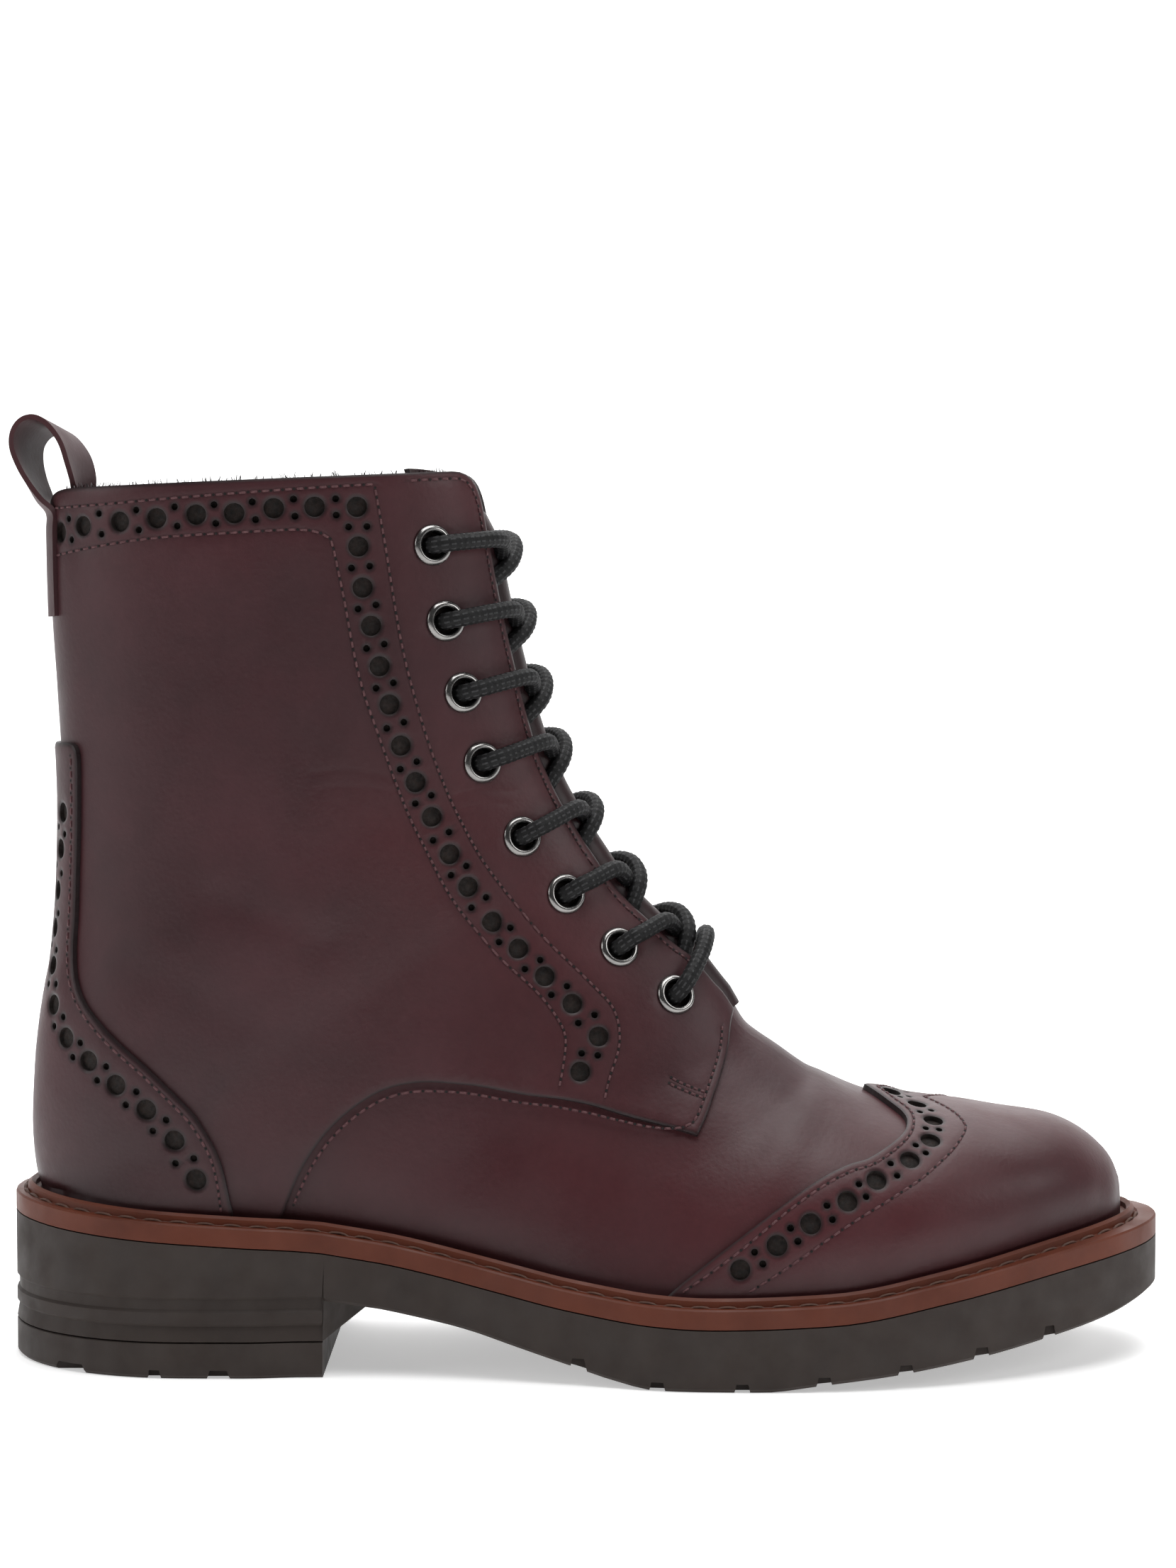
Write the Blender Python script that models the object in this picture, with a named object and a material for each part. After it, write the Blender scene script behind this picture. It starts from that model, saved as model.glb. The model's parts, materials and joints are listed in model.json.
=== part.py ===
"""Lace-up brogue ankle boot for the right foot, standing on its sole.

Metres, +Z up, +X towards the toe, +Y towards the inner side of the foot.
The origin is on the floor, under the middle of the heel's tread.

The leather parts share one form. Its sections lie in planes square to the side view:
each runs from the ridge over the instep down to the back of the shaft or to the feather,
which is the line where the leather meets the welt. A place on the form is (row, v):
row counts the lines of SECTIONS from the collar to the toe tip, and v goes from 0 at
the ridge over 0.5 at the widest place to 1 at the back or the feather.
"""

import math

import bmesh
import bpy
import numpy as np
from mathutils import Matrix, Vector

# Last.
LAST_LENGTH = 0.2554
LAST_BACK = -0.0276
BALL_WIDTH = 0.0860
SHAFT_WIDTH = 0.0560
VAMP_RISE = 0.0580
SHAFT_RISE = 0.1130
HEEL_ROUND = 0.034
TOE_ROUND = 0.066

# Layers.
WALL = 0.0020
OVERLAY = 0.0014
TONGUE_WALL = 0.0024
CLEARANCE = 0.0003

# Sole, welt and insole.
HEEL_HEIGHT = 0.0349
BALL_HEIGHT = 0.0142
TOE_RISE = 0.0132
TOE_SPRING = 0.0170
HEEL_LENGTH = 0.0760
BREAST_RAKE = 0.0100
LIFT_HEIGHT = 0.0083
SHANK_RISE = 0.0180
SOLE_REACH = 0.0060
TOE_REACH = 0.0025
WELT_THICKNESS = 0.0046
WELT_LAP = 0.0060
BEAD_WIDTH = 0.0020
BEAD_HEIGHT = 0.0020
BEAD_GAP = 0.0014
INSOLE_THICKNESS = 0.0030
RIB_HEIGHTS = (0.0125, 0.0158, 0.0188)
RIB_DEPTH = 0.0006
EDGE_ROUND = 0.0008
NOTCH_WIDTH = 0.0036
NOTCH_HEIGHT = 0.0020
NOTCH_REACH = 0.0100

# Lacing and loop.
EYELETS = 8
EYELET_RADIUS = 0.0048
BORE_RADIUS = 0.0031
BARREL_WALL = 0.0005
FLANGE_HEIGHT = 0.0008
EYELET_INSET = 0.0118
EYELET_MARGIN = 0.0125
THROAT_GAP = 0.0180
LACE_DIAMETER = 0.0038
LOOP_WIDTH = 0.0180
LOOP_REACH = 0.0170
LOOP_RISE = 0.0190
LOOP_THICKNESS = 0.0012

OUTER, INNER = -1, 1
# Share of the inner side's narrower feather that the leather above it follows.
WAIST_CUT = 0.9
FEATHER_RISE = WELT_THICKNESS + 2 * CLEARANCE
STACK = OVERLAY + CLEARANCE

# Top of the sole along its length: shares of the heel's extra height and of the toe's rise.
SOLE_TOP = (
    # along, heel, toe
    (0.00, 0.980, 0.00),
    (0.04, 0.925, 0.00),
    (0.12, 0.840, 0.00),
    (0.26, 0.715, 0.00),
    (0.32, 0.600, 0.00),
    (0.42, 0.330, 0.00),
    (0.50, 0.125, 0.00),
    (0.57, 0.020, 0.00),
    (0.61, 0.000, 0.00),
    (0.72, 0.000, 0.07),
    (0.82, 0.000, 0.38),
    (0.92, 0.000, 0.76),
    (1.00, 0.000, 1.00),
)

# Underside in front of the heel: shares of the shank's rise and of the toe spring.
SOLE_BOTTOM = (
    # along, shank, toe
    (0.26, 1.00, 0.00),
    (0.30, 0.93, 0.00),
    (0.35, 0.80, 0.00),
    (0.40, 0.64, 0.00),
    (0.44, 0.47, 0.00),
    (0.49, 0.26, 0.00),
    (0.53, 0.10, 0.00),
    (0.57, 0.00, 0.00),
    (0.66, 0.00, 0.00),
    (0.71, 0.00, 0.085),
    (0.78, 0.00, 0.20),
    (0.85, 0.00, 0.36),
    (0.91, 0.00, 0.54),
    (0.96, 0.00, 0.71),
    (1.00, 0.00, 0.93),
)

# Layers of panel leather that the welt goes round, and the toe's share of extra reach.
WELT_PATH = (
    # along, layers, toe
    (0.00, 2.00, 0.00),
    (0.19, 2.00, 0.00),
    (0.24, 1.10, 0.00),
    (0.31, 0.80, 0.00),
    (0.52, 0.80, 0.00),
    (0.59, 1.00, 0.00),
    (0.80, 1.00, 0.10),
    (0.90, 1.00, 0.50),
    (1.00, 1.00, 1.00),
)

# Plan of the feather: half widths as shares of the ball's width, before the round ends.
PLAN = (
    # along, outer, inner, swing
    (0.00, 0.305, 0.305, 0.00),
    (0.14, 0.310, 0.305, 0.00),
    (0.26, 0.315, 0.285, 0.00),
    (0.38, 0.345, 0.262, 0.00),
    (0.50, 0.420, 0.310, 0.00),
    (0.60, 0.488, 0.415, 0.00),
    (0.70, 0.500, 0.492, 0.01),
    (0.80, 0.476, 0.492, 0.03),
    (0.90, 0.440, 0.440, 0.05),
    (1.00, 0.400, 0.400, 0.06),
)

# Ridge over the instep and foot of each section. The rises are shares of VAMP_RISE and of
# SHAFT_RISE over the feather; width is a share of the shaft's or the ball's width.
SECTIONS = (
    # ridge along, vamp, shaft, foot along, vamp, shaft, shaft width, ball width, widest, fullness
    (0.402, 1.00, 1.000, 0.007, 1.00, 0.962, 1.00, 0.00, 0.54, 2.25),
    (0.413, 1.00, 0.865, 0.008, 1.00, 0.740, 1.00, 0.00, 0.55, 2.20),
    (0.425, 1.00, 0.731, 0.013, 1.00, 0.526, 1.00, 0.00, 0.56, 2.15),
    (0.438, 1.00, 0.606, 0.017, 1.00, 0.320, 1.01, 0.00, 0.57, 2.10),
    (0.452, 1.00, 0.486, 0.015, 1.00, 0.133, 1.02, 0.00, 0.58, 2.05),
    (0.464, 1.00, 0.405, 0.006, 0.88, 0.000, 1.04, 0.00, 0.59, 2.00),
    (0.478, 1.00, 0.334, -0.006, 0.52, 0.000, 1.06, 0.00, 0.60, 2.00),
    (0.494, 1.00, 0.271, -0.009, 0.22, 0.000, 1.06, 0.00, 0.61, 2.00),
    (0.511, 1.00, 0.212, 0.000, 0.00, 0.000, 1.05, 0.00, 0.63, 2.00),
    (0.539, 1.00, 0.128, 0.034, 0.00, 0.000, 1.05, 0.00, 0.66, 2.00),
    (0.566, 1.00, 0.078, 0.092, 0.00, 0.000, 1.05, 0.00, 0.69, 2.00),
    (0.598, 1.00, 0.025, 0.171, 0.00, 0.000, 1.05, 0.00, 0.72, 2.00),
    (0.627, 0.93, 0.000, 0.261, 0.00, 0.000, 1.00, 0.04, 0.75, 2.00),
    (0.652, 0.84, 0.000, 0.363, 0.00, 0.000, 0.78, 0.24, 0.78, 2.00),
    (0.684, 0.84, 0.000, 0.464, 0.00, 0.000, 0.45, 0.53, 0.80, 2.05),
    (0.715, 0.82, 0.000, 0.570, 0.00, 0.000, 0.15, 0.84, 0.80, 2.10),
    (0.762, 0.73, 0.000, 0.668, 0.00, 0.000, 0.00, 1.02, 0.80, 2.15),
    (0.827, 0.63, 0.000, 0.762, 0.00, 0.000, 0.00, 0.985, 0.78, 2.20),
    (0.894, 0.505, 0.000, 0.856, 0.00, 0.000, 0.00, 0.845, 0.76, 2.25),
    (0.944, 0.41, 0.000, 0.922, 0.00, 0.000, 0.00, 0.650, 0.74, 2.25),
    (0.973, 0.31, 0.000, 0.966, 0.00, 0.000, 0.00, 0.440, 0.72, 2.20),
    (0.991, 0.21, 0.000, 0.990, 0.00, 0.000, 0.00, 0.245, 0.70, 2.10),
    (0.999, 0.12, 0.000, 1.000, 0.00, 0.000, 0.00, 0.00, 0.70, 2.00),
)
TIP = len(SECTIONS) - 1
HEEL_CORNER = 8
THROAT_END = 12.5
TONGUE_TOP = -0.25


def eased(table, place):
    """Row of a table at a place in its first column, by a curve that never overshoots."""
    data = np.array(table, float)
    xs = data[:, 0]
    place = float(place)
    if place <= xs[0] or place >= xs[-1]:
        return data[0 if place <= xs[0] else -1, 1:]
    step = np.diff(xs)
    slope = np.diff(data[:, 1:], axis=0) / step[:, None]
    i = int(np.searchsorted(xs, place, side="right") - 1)

    def tangent(k):
        if k == 0 or k == len(xs) - 1:
            return slope[0 if k == 0 else -1]
        before, after = slope[k - 1], slope[k]
        weight_a = 2 * step[k] + step[k - 1]
        weight_b = step[k] + 2 * step[k - 1]
        same = before * after > 0
        safe_before = np.where(same, before, 1.0)
        safe_after = np.where(same, after, 1.0)
        mean = (weight_a + weight_b) / (weight_a / safe_before + weight_b / safe_after)
        return np.where(same, mean, 0.0)

    t = (place - xs[i]) / step[i]
    low, high = data[i, 1:], data[i + 1, 1:]
    return (
        low * (1 + 2 * t) * (1 - t) ** 2
        + tangent(i) * step[i] * t * (1 - t) ** 2
        + high * t * t * (3 - 2 * t)
        - tangent(i + 1) * step[i] * t * t * (1 - t)
    )


def along(share):
    return LAST_BACK + LAST_LENGTH * share


def sole_top(share):
    heel, toe = eased(SOLE_TOP, share)
    return BALL_HEIGHT + (HEEL_HEIGHT - BALL_HEIGHT) * heel + TOE_RISE * toe


def feather_height(share):
    return sole_top(share) + FEATHER_RISE


def sole_bottom(share):
    shank, toe = eased(SOLE_BOTTOM, share)
    return SHANK_RISE * shank + TOE_SPRING * toe


def feather(share, side):
    """Distance of the feather from the last's middle line, on one side."""
    outer, inner, swing = eased(PLAN, share)
    from_back = min(share * LAST_LENGTH / HEEL_ROUND, 1.0)
    from_tip = min((1 - share) * LAST_LENGTH / TOE_ROUND, 1.0)
    ends = math.sqrt(max(1 - (1 - from_back) ** 2, 0)) * math.sqrt(max(1 - (1 - from_tip) ** 2, 0))
    return BALL_WIDTH * (inner if side == INNER else outer) * ends


def swing(share):
    """How far the last's middle line bends towards the inner side."""
    return BALL_WIDTH * eased(PLAN, share)[2]


def feather_slope(share, side):
    low, high = max(share - 0.004, 0.0), min(share + 0.004, 1.0)
    return (feather(high, side) - feather(low, side)) / (LAST_LENGTH * (high - low))


SECTION_ROWS = tuple((i, *entry) for i, entry in enumerate(SECTIONS))


def section(row):
    """Ends and shape of the section at a row, which may lie between two lines of the table."""
    if row < 0:
        first, second = (eased(SECTION_ROWS, k) for k in (0, 0.5))
        shape = first + (second - first) * row / 0.5
    else:
        shape = eased(SECTION_ROWS, row)
    ridge_x, ridge_vamp, ridge_shaft, foot_x, foot_vamp, foot_shaft, shaft, ball, widest, full = shape
    seat = feather_height(foot_x)
    ridge = (along(ridge_x), seat + VAMP_RISE * ridge_vamp + SHAFT_RISE * ridge_shaft)
    foot = (along(foot_x), seat + VAMP_RISE * foot_vamp + SHAFT_RISE * foot_shaft)
    half = (SHAFT_WIDTH * shaft + BALL_WIDTH * ball) / 2
    return ridge, foot, foot_x, half, widest, full


def lower_bend(row, ridge, foot, foot_x, half, widest, side):
    """Edge distance at the foot and the angle by which the lower half of a section turns in."""
    end = feather(foot_x, side) if row > HEEL_CORNER else 0.0
    end = min(end, half * 0.999)
    if end <= 1e-6:
        return 0.0, math.pi / 2
    run = math.hypot(foot[0] - ridge[0], foot[1] - ridge[1])
    inward = max((ridge[0] - foot[0]) / run * feather_slope(foot_x, side), 0.0)
    steep = (inward + 0.10) * (1 - widest) * run / max(half - end, 1e-6)
    low, high = 0.02, math.pi / 2
    for _ in range(40):
        mid = (low + high) / 2
        if math.tan(mid) * math.sin(mid) / (1 - math.cos(mid)) < steep:
            low = mid
        else:
            high = mid
    return end, low


def half_width(row, side):
    ridge, foot, foot_x, half, widest, full = section(row)
    if row > HEEL_CORNER:
        if side == INNER:
            half -= WAIST_CUT * max(feather(foot_x, OUTER) - feather(foot_x, INNER), 0.0)
        half = max(half, feather(foot_x, side) * 1.004 + 0.0002)
    if row >= TIP:
        half = 0.0
    return half


def form(row, v, side):
    """Point of the upper's outer face; v over 1 goes straight down from the feather."""
    if v > 1:
        return form(row, 1.0, side) - Vector((0, 0, (v - 1) * LAST_LENGTH))
    ridge, foot, foot_x, half, widest, full = section(row)
    half = half_width(row, side)
    if v <= 0.5:
        turn = math.pi * max(v, 0.0)
        share = widest * (1 - math.cos(turn) ** (2 / full))
        reach = half * math.sin(turn) ** (2 / full)
    else:
        end, bend = lower_bend(row, ridge, foot, foot_x, half, widest, side)
        turn = bend * (2 * v - 1)
        share = widest + (1 - widest) * math.sin(turn) / math.sin(bend)
        reach = half - (half - end) * (1 - math.cos(turn)) / (1 - math.cos(bend))
    middle = swing(min(max(foot_x, 0.0), 1.0)) * share + swing(eased(SECTION_ROWS, max(row, 0))[0]) * (1 - share)
    return Vector(
        (
            ridge[0] + (foot[0] - ridge[0]) * share,
            middle + side * reach,
            ridge[1] + (foot[1] - ridge[1]) * share,
        )
    )


def normal(row, v, side):
    """Outward direction of the upper's outer face, level along the feather."""
    row = min(row, TIP - 0.35)
    low, high = max(row - 0.05, TONGUE_TOP), min(row + 0.05, TIP - 0.3)
    left, right = min(max(v - 0.01, 0.0), 0.97), max(min(v + 0.01, 0.999), 0.02)
    down = form(high, v, side) - form(low, v, side)
    across = form(row, right, side) - form(row, left, side)
    out = down.cross(across) * side
    if row > HEEL_CORNER - 1:
        out.z *= 1 - min(row - HEEL_CORNER + 1, 1.0) * min(max(v - 0.75, 0.0) / 0.24, 1.0)
    return out.normalized()


def throat_edge(row, gap=THROAT_GAP):
    """v of the throat's edge, where the facings end half the gap from the middle."""
    half = max(half_width(row, OUTER), gap)
    full = section(row)[5]
    return math.asin(min(gap / 2 / half, 1.0) ** (full / 2)) / math.pi


def leather_mesh(name, patches, low, high, material):
    """Closed sheet between two offsets of the form; a patch is a grid of (row, v, side)."""
    index, points, turns, faces = {}, [], [], []

    def place(spot):
        point = form(*spot)
        key = tuple(round(c * 1e7) for c in point)
        if key not in index:
            index[key] = len(points)
            points.append(np.array(point))
            turns.append(np.zeros(3))
        turns[index[key]] += np.array(normal(*spot))
        return index[key]

    for grid in patches:
        ids = [[place(spot) for spot in line] for line in grid]
        for i in range(len(ids) - 1):
            for j in range(len(ids[i]) - 1):
                corners = (ids[i][j], ids[i + 1][j], ids[i + 1][j + 1], ids[i][j + 1])
                face = []
                for k in corners:
                    if k not in face:
                        face.append(k)
                if grid[i][j][2] == OUTER:
                    face = face[1:] + face[:1]
                faces += [[face[0], face[k], face[k + 1]] for k in range(1, len(face) - 1)]
    base = np.array(points)
    out = np.array(turns)
    out /= np.linalg.norm(out, axis=1, keepdims=True)
    count = len(base)
    verts = np.vstack([base + out * high, base + out * low])
    every = [list(face) for face in faces]
    every += [[k + count for k in reversed(face)] for face in faces]
    sides = {(a, b) for face in faces for a, b in zip(face, face[1:] + face[:1])}
    for a, b in sides:
        if (b, a) not in sides:
            every.append([b, a, a + count, b + count])
    return add_mesh(name, verts, every, material)


def add_mesh(name, verts, faces, material=None):
    mesh = bpy.data.meshes.new(name)
    mesh.from_pydata([tuple(v) for v in verts], [], faces)
    mesh.validate()
    obj = bpy.data.objects.new(name, mesh)
    bpy.context.scene.collection.objects.link(obj)
    if material:
        mesh.materials.append(material)
    return obj


def principled(name, colour, roughness, metallic=0.0):
    material = bpy.data.materials.new(name)
    material.use_nodes = True
    shader = material.node_tree.nodes["Principled BSDF"]
    shader.inputs["Base Color"].default_value = (*colour, 1.0)
    shader.inputs["Roughness"].default_value = roughness
    shader.inputs["Metallic"].default_value = metallic
    material.diffuse_color = (*colour, 1.0)
    return material


def cut(target, cutter, operation="DIFFERENCE"):
    """Applies a Boolean and leaves the cutter out of the part."""
    modifier = target.modifiers.new("cut", "BOOLEAN")
    modifier.object = cutter
    modifier.operation = operation
    modifier.solver = "EXACT"
    cutter.hide_render = True
    cutter.display_type = "WIRE"
    graph = bpy.context.evaluated_depsgraph_get()
    made = bpy.data.meshes.new_from_object(target.evaluated_get(graph))
    target.modifiers.clear()
    old = target.data
    target.data = made
    bpy.data.meshes.remove(old)
    bpy.data.objects.remove(cutter)
    tidy = bmesh.new()
    tidy.from_mesh(made)
    bmesh.ops.remove_doubles(tidy, verts=tidy.verts, dist=2e-6)
    bmesh.ops.triangulate(tidy, faces=[f for f in tidy.faces if len(f.verts) > 4])
    tidy.to_mesh(made)
    tidy.free()


def spread(low, high, count):
    return [low + (high - low) * k / count for k in range(count + 1)]


def girth(row, start, end, count, side):
    """Places along one section from v = start to v = end."""
    return [(row, v, side) for v in spread(start, end, count)]


def gap_at(row):
    return THROAT_GAP * (1 - 0.30 * min(max(row, 0), THROAT_END) / THROAT_END)


EYELET_SIDES = 8
COLUMNS = 7
ROWS = (0, 1, 2, 3, 4, 5, 6, 7, 8, 8.5, 9, 10, 11, 11.8, THROAT_END, 13.2, 14, 15, 16, 16.6, 17.3, 18, 18.5, 19, 20, 21, TIP)


def back_seam(row, gap):
    """v at which one side of a closed section stops half the gap from the middle."""
    if row > HEEL_CORNER:
        return 1.0
    return 0.5 + math.acos(gap / 2 / half_width(row, OUTER)) / math.pi


def side_grid(rows, count, side, edge, seam=0.0):
    """Grid over one side from the foot line up to the edge, from the collar to the toe."""
    grid = []
    for row in rows:
        line = girth(row, 1.0, edge(row), count, side)
        line[0] = (row, back_seam(row, seam), side)
        grid.append(line if side == OUTER else line[::-1])
    return grid


def bridge_grid(rows, count, edge):
    """Grid over the ridge between the two edges."""
    grid = []
    for row in rows:
        v = edge(row)
        outer = girth(row, v, 0.0, count, OUTER)
        inner = girth(row, 0.0, v, count, INNER)
        grid.append(outer + inner[1:])
    return grid


def upper_edge(row):
    return throat_edge(row, gap_at(row))


def prism(name, outline, low, high):
    """Cutter: a side-view outline carried across the boot from y = low to y = high."""
    count = len(outline)
    verts = [(x, low, z) for x, z in outline] + [(x, high, z) for x, z in outline]
    faces = [list(range(count)), [k + count for k in reversed(range(count))]]
    for k in range(count):
        n = (k + 1) % count
        faces.append([n, k, k + count, n + count])
    obj = add_mesh(name, verts, faces)
    shape = bmesh.new()
    shape.from_mesh(obj.data)
    bmesh.ops.recalc_face_normals(shape, faces=shape.faces)
    shape.to_mesh(obj.data)
    shape.free()
    return obj


def side_point(share, vamp, shaft):
    """Side-view place from a length share and the rises over the feather below it."""
    seat = feather_height(min(max(share, 0.0), 1.0))
    return along(share), seat + VAMP_RISE * vamp + SHAFT_RISE * shaft


# Lower and front edge of the quarters in side view, from the welt to the throat.
QUARTER_EDGE = (
    # along, vamp, shaft
    (0.220, -0.05, 0.000),
    (0.226, 0.07, 0.000),
    (0.234, 0.18, 0.000),
    (0.247, 0.30, 0.000),
    (0.267, 0.43, 0.000),
    (0.294, 0.54, 0.000),
    (0.318, 0.62, 0.000),
    (0.348, 0.67, 0.000),
    (0.377, 0.70, 0.000),
    (0.422, 0.72, 0.000),
    (0.471, 0.75, 0.000),
    (0.520, 0.75, 0.000),
    (0.570, 0.69, 0.000),
    (0.601, 0.65, 0.000),
    (0.611, 0.74, 0.000),
    (0.631, 0.94, 0.000),
    (0.640, 1.00, 0.040),
)

# Front edge of the heel counter and its back strip in side view, from the top to the welt.
COUNTER_EDGE = (
    # along, vamp, shaft
    (-0.060, 1.00, 0.432),
    (0.012, 1.00, 0.432),
    (0.021, 1.00, 0.418),
    (0.024, 1.00, 0.400),
    (0.024, 1.00, 0.250),
    (0.022, 1.00, 0.090),
    (0.019, 0.99, 0.000),
    (0.023, 0.89, 0.000),
    (0.030, 0.81, 0.000),
    (0.045, 0.74, 0.000),
    (0.073, 0.65, 0.000),
    (0.098, 0.58, 0.000),
    (0.127, 0.48, 0.000),
    (0.146, 0.40, 0.000),
    (0.159, 0.30, 0.000),
    (0.168, 0.21, 0.000),
    (0.175, 0.09, 0.000),
    (0.182, -0.06, 0.000),
)

# Back edge of the wing cap: the row it starts from at each v, the same on both sides.
WING_EDGE = (
    # v, row
    (0.00, 16.00),
    (0.10, 16.25),
    (0.20, 16.60),
    (0.28, 16.70),
    (0.36, 16.35),
    (0.46, 15.95),
    (0.60, 15.60),
    (0.80, 15.25),
    (1.00, 15.00),
    (1.10, 14.90),
)
WING_COLUMNS = (0.0, 0.05, 0.10, 0.15, 0.20, 0.24, 0.28, 0.32, 0.36, 0.41, 0.48, 0.56, 0.64, 0.75, 0.86, 1.0, 1.03)


def build_upper(material):
    patches = [
        side_grid(ROWS, COLUMNS, OUTER, upper_edge),
        bridge_grid([r for r in ROWS if r >= THROAT_END], 2, upper_edge),
        side_grid(ROWS, COLUMNS, INNER, upper_edge),
    ]
    return leather_mesh("upper", patches, -WALL, 0.0, material)


def build_quarter(name, side, material):
    rows = [r for r in ROWS if r <= 16]
    grid = side_grid(rows, COLUMNS, side, upper_edge, 2 * CLEARANCE)
    quarter = leather_mesh(name, [grid], CLEARANCE, STACK, material)
    outline = [side_point(*entry) for entry in QUARTER_EDGE]
    far = along(0.95)
    outline += [(far, outline[-1][1]), (far, -0.01), (outline[0][0], -0.01)]
    cut(quarter, prism("quarter_cutter", outline, -BALL_WIDTH, BALL_WIDTH))
    return quarter


def build_counter(material):
    rows = [r for r in ROWS if 2 <= r <= 13]
    patches = [side_grid(rows, COLUMNS, side, upper_edge) for side in (OUTER, INNER)]
    counter = leather_mesh("heel_counter", patches, STACK + 2 * CLEARANCE, 2 * STACK + CLEARANCE, material)
    outline = [side_point(*entry) for entry in COUNTER_EDGE]
    far = along(0.8)
    outline += [(far, -0.01), (far, 0.3), (outline[0][0], 0.3)]
    cut(counter, prism("counter_cutter", outline, -BALL_WIDTH, BALL_WIDTH))
    return counter


def build_wing(material):
    rows = [r for r in ROWS if r >= 14]
    patches = [
        side_grid(rows, COLUMNS, OUTER, upper_edge),
        bridge_grid(rows, 2, upper_edge),
        side_grid(rows, COLUMNS, INNER, upper_edge),
    ]
    wing = leather_mesh("wing_cap", patches, CLEARANCE, STACK, material)
    region = []
    for share in (0.0, 0.3, 0.55, 0.78, 1.0):
        line = []
        for side, order in ((OUTER, WING_COLUMNS[::-1]), (INNER, WING_COLUMNS[1:])):
            for v in order:
                start = float(eased(WING_EDGE, v)[0])
                line.append((start + (TIP - start) * share, v, side))
        region.append(line)
    cutter = leather_mesh("wing_cutter", [region], -2 * WALL, 3 * STACK, None)
    cut(wing, cutter, "INTERSECT")
    return wing


def build_tongue(material):
    rows = [TONGUE_TOP, *(r for r in ROWS if r <= THROAT_END)]

    def wide_edge(row):
        edge = upper_edge(row)
        return edge + (1 - edge) / COLUMNS

    patches = []
    for side in (OUTER, INNER):
        lines = [girth(row, wide_edge(row), upper_edge(row), 1, side) for row in rows]
        patches.append(lines if side == OUTER else [line[::-1] for line in lines])
    patches.insert(1, bridge_grid(rows, 2, upper_edge))
    low = -(WALL + CLEARANCE + TONGUE_WALL)
    return leather_mesh("tongue", patches, low, -(WALL + CLEARANCE), material)


def closed_mesh(name, points, faces, material):
    """Mesh from points that may repeat, with the faces turned outward."""
    index, verts, clean = {}, [], []

    def place(point):
        key = tuple(round(c * 1e7) for c in point)
        if key not in index:
            index[key] = len(verts)
            verts.append(point)
        return index[key]

    ids = [place(p) for p in points]
    for face in faces:
        ring = []
        for k in face:
            if ids[k] not in ring:
                ring.append(ids[k])
        if len(ring) > 2:
            clean.append(ring)
    obj = add_mesh(name, verts, clean, material)
    shape = bmesh.new()
    shape.from_mesh(obj.data)
    bmesh.ops.recalc_face_normals(shape, faces=shape.faces)
    shape.to_mesh(obj.data)
    shape.free()
    return obj


def share_of(x):
    return (x - LAST_BACK) / LAST_LENGTH


def reach_at(share):
    """Distance from the feather to the sole's edge."""
    layers, toe = eased(WELT_PATH, share)
    return SOLE_REACH + STACK * layers + TOE_REACH * toe


def edge_point(share, side, distance):
    """Plan place at a distance outside the feather, on one side."""
    share = min(max(share, 0.0), 1.0)
    if share in (0.0, 1.0):
        return along(share) + (distance if share else -distance), swing(share)
    slope = feather_slope(share, side)
    size = math.hypot(slope, 1)
    x = along(share) - distance * slope / size
    return x, swing(share) + side * (feather(share, side) + distance / size)


BREAST_X = LAST_BACK - SOLE_REACH - 2 * STACK + HEEL_LENGTH
BREAST = share_of(BREAST_X)
STATIONS = (
    0.0, 0.006, 0.022, 0.048, 0.085, 0.13, 0.18, 0.225, BREAST, BREAST + 0.0015,
    0.32, 0.37, 0.43, 0.49, 0.53, 0.57, 0.61, 0.66, 0.71, 0.76, 0.81, 0.86, 0.90, 0.935, 0.963, 0.984, 0.996, 1.0,
)


def loops(stations, rings):
    """Points of each ring on both sides; a ring gives (distance, height) at a share and side."""
    made = []
    for ring in rings:
        sides = []
        for side in (OUTER, INNER):
            line = []
            for share in stations:
                distance, height = ring(share, side)
                x, y = edge_point(share, side, distance)
                line.append((x, y, height(share_of(x) if distance < 0 else share)))
            sides.append(line)
        made.append(sides)
    return made


def ring_solid(name, made, material, middles=(None, None), hollow=False):
    """Solid through rings from the top to the bottom, capped across, or a closed hollow ring."""
    points, faces, at = [], [], {}
    for r, sides in enumerate(made):
        for side in (0, 1):
            for k, point in enumerate(sides[side]):
                at[(r, side, k)] = len(points)
                points.append(point)
    count, last = len(made[0][0]), len(made) - 1
    pairs = [(r, r + 1) for r in range(last)]
    if hollow:
        pairs.append((last, 0))
    for r, n in pairs:
        for side in (0, 1):
            for k in range(count - 1):
                faces.append([at[(r, side, k)], at[(r, side, k + 1)], at[(n, side, k + 1)], at[(n, side, k)]])
        if not hollow:
            for k in (0, count - 1):
                faces.append([at[(r, 0, k)], at[(r, 1, k)], at[(n, 1, k)], at[(n, 0, k)]])
    if not hollow:
        for r, middle in ((0, middles[0]), (last, middles[1])):
            centre = []
            for k in range(count):
                a, b = made[r][0][k], made[r][1][k]
                point = tuple((p + q) / 2 for p, q in zip(a, b))
                if middle:
                    point = middle(k, point)
                centre.append(len(points))
                points.append(point)
            for side in (0, 1):
                for k in range(count - 1):
                    faces.append([at[(r, side, k)], at[(r, side, k + 1)], centre[k + 1], centre[k]])
            for k in (0, count - 1):
                faces.append([at[(r, 0, k)], centre[k], at[(r, 1, k)]])
    return closed_mesh(name, points, faces, material)


def heel_zone(share):
    return share <= BREAST + 0.0005


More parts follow.
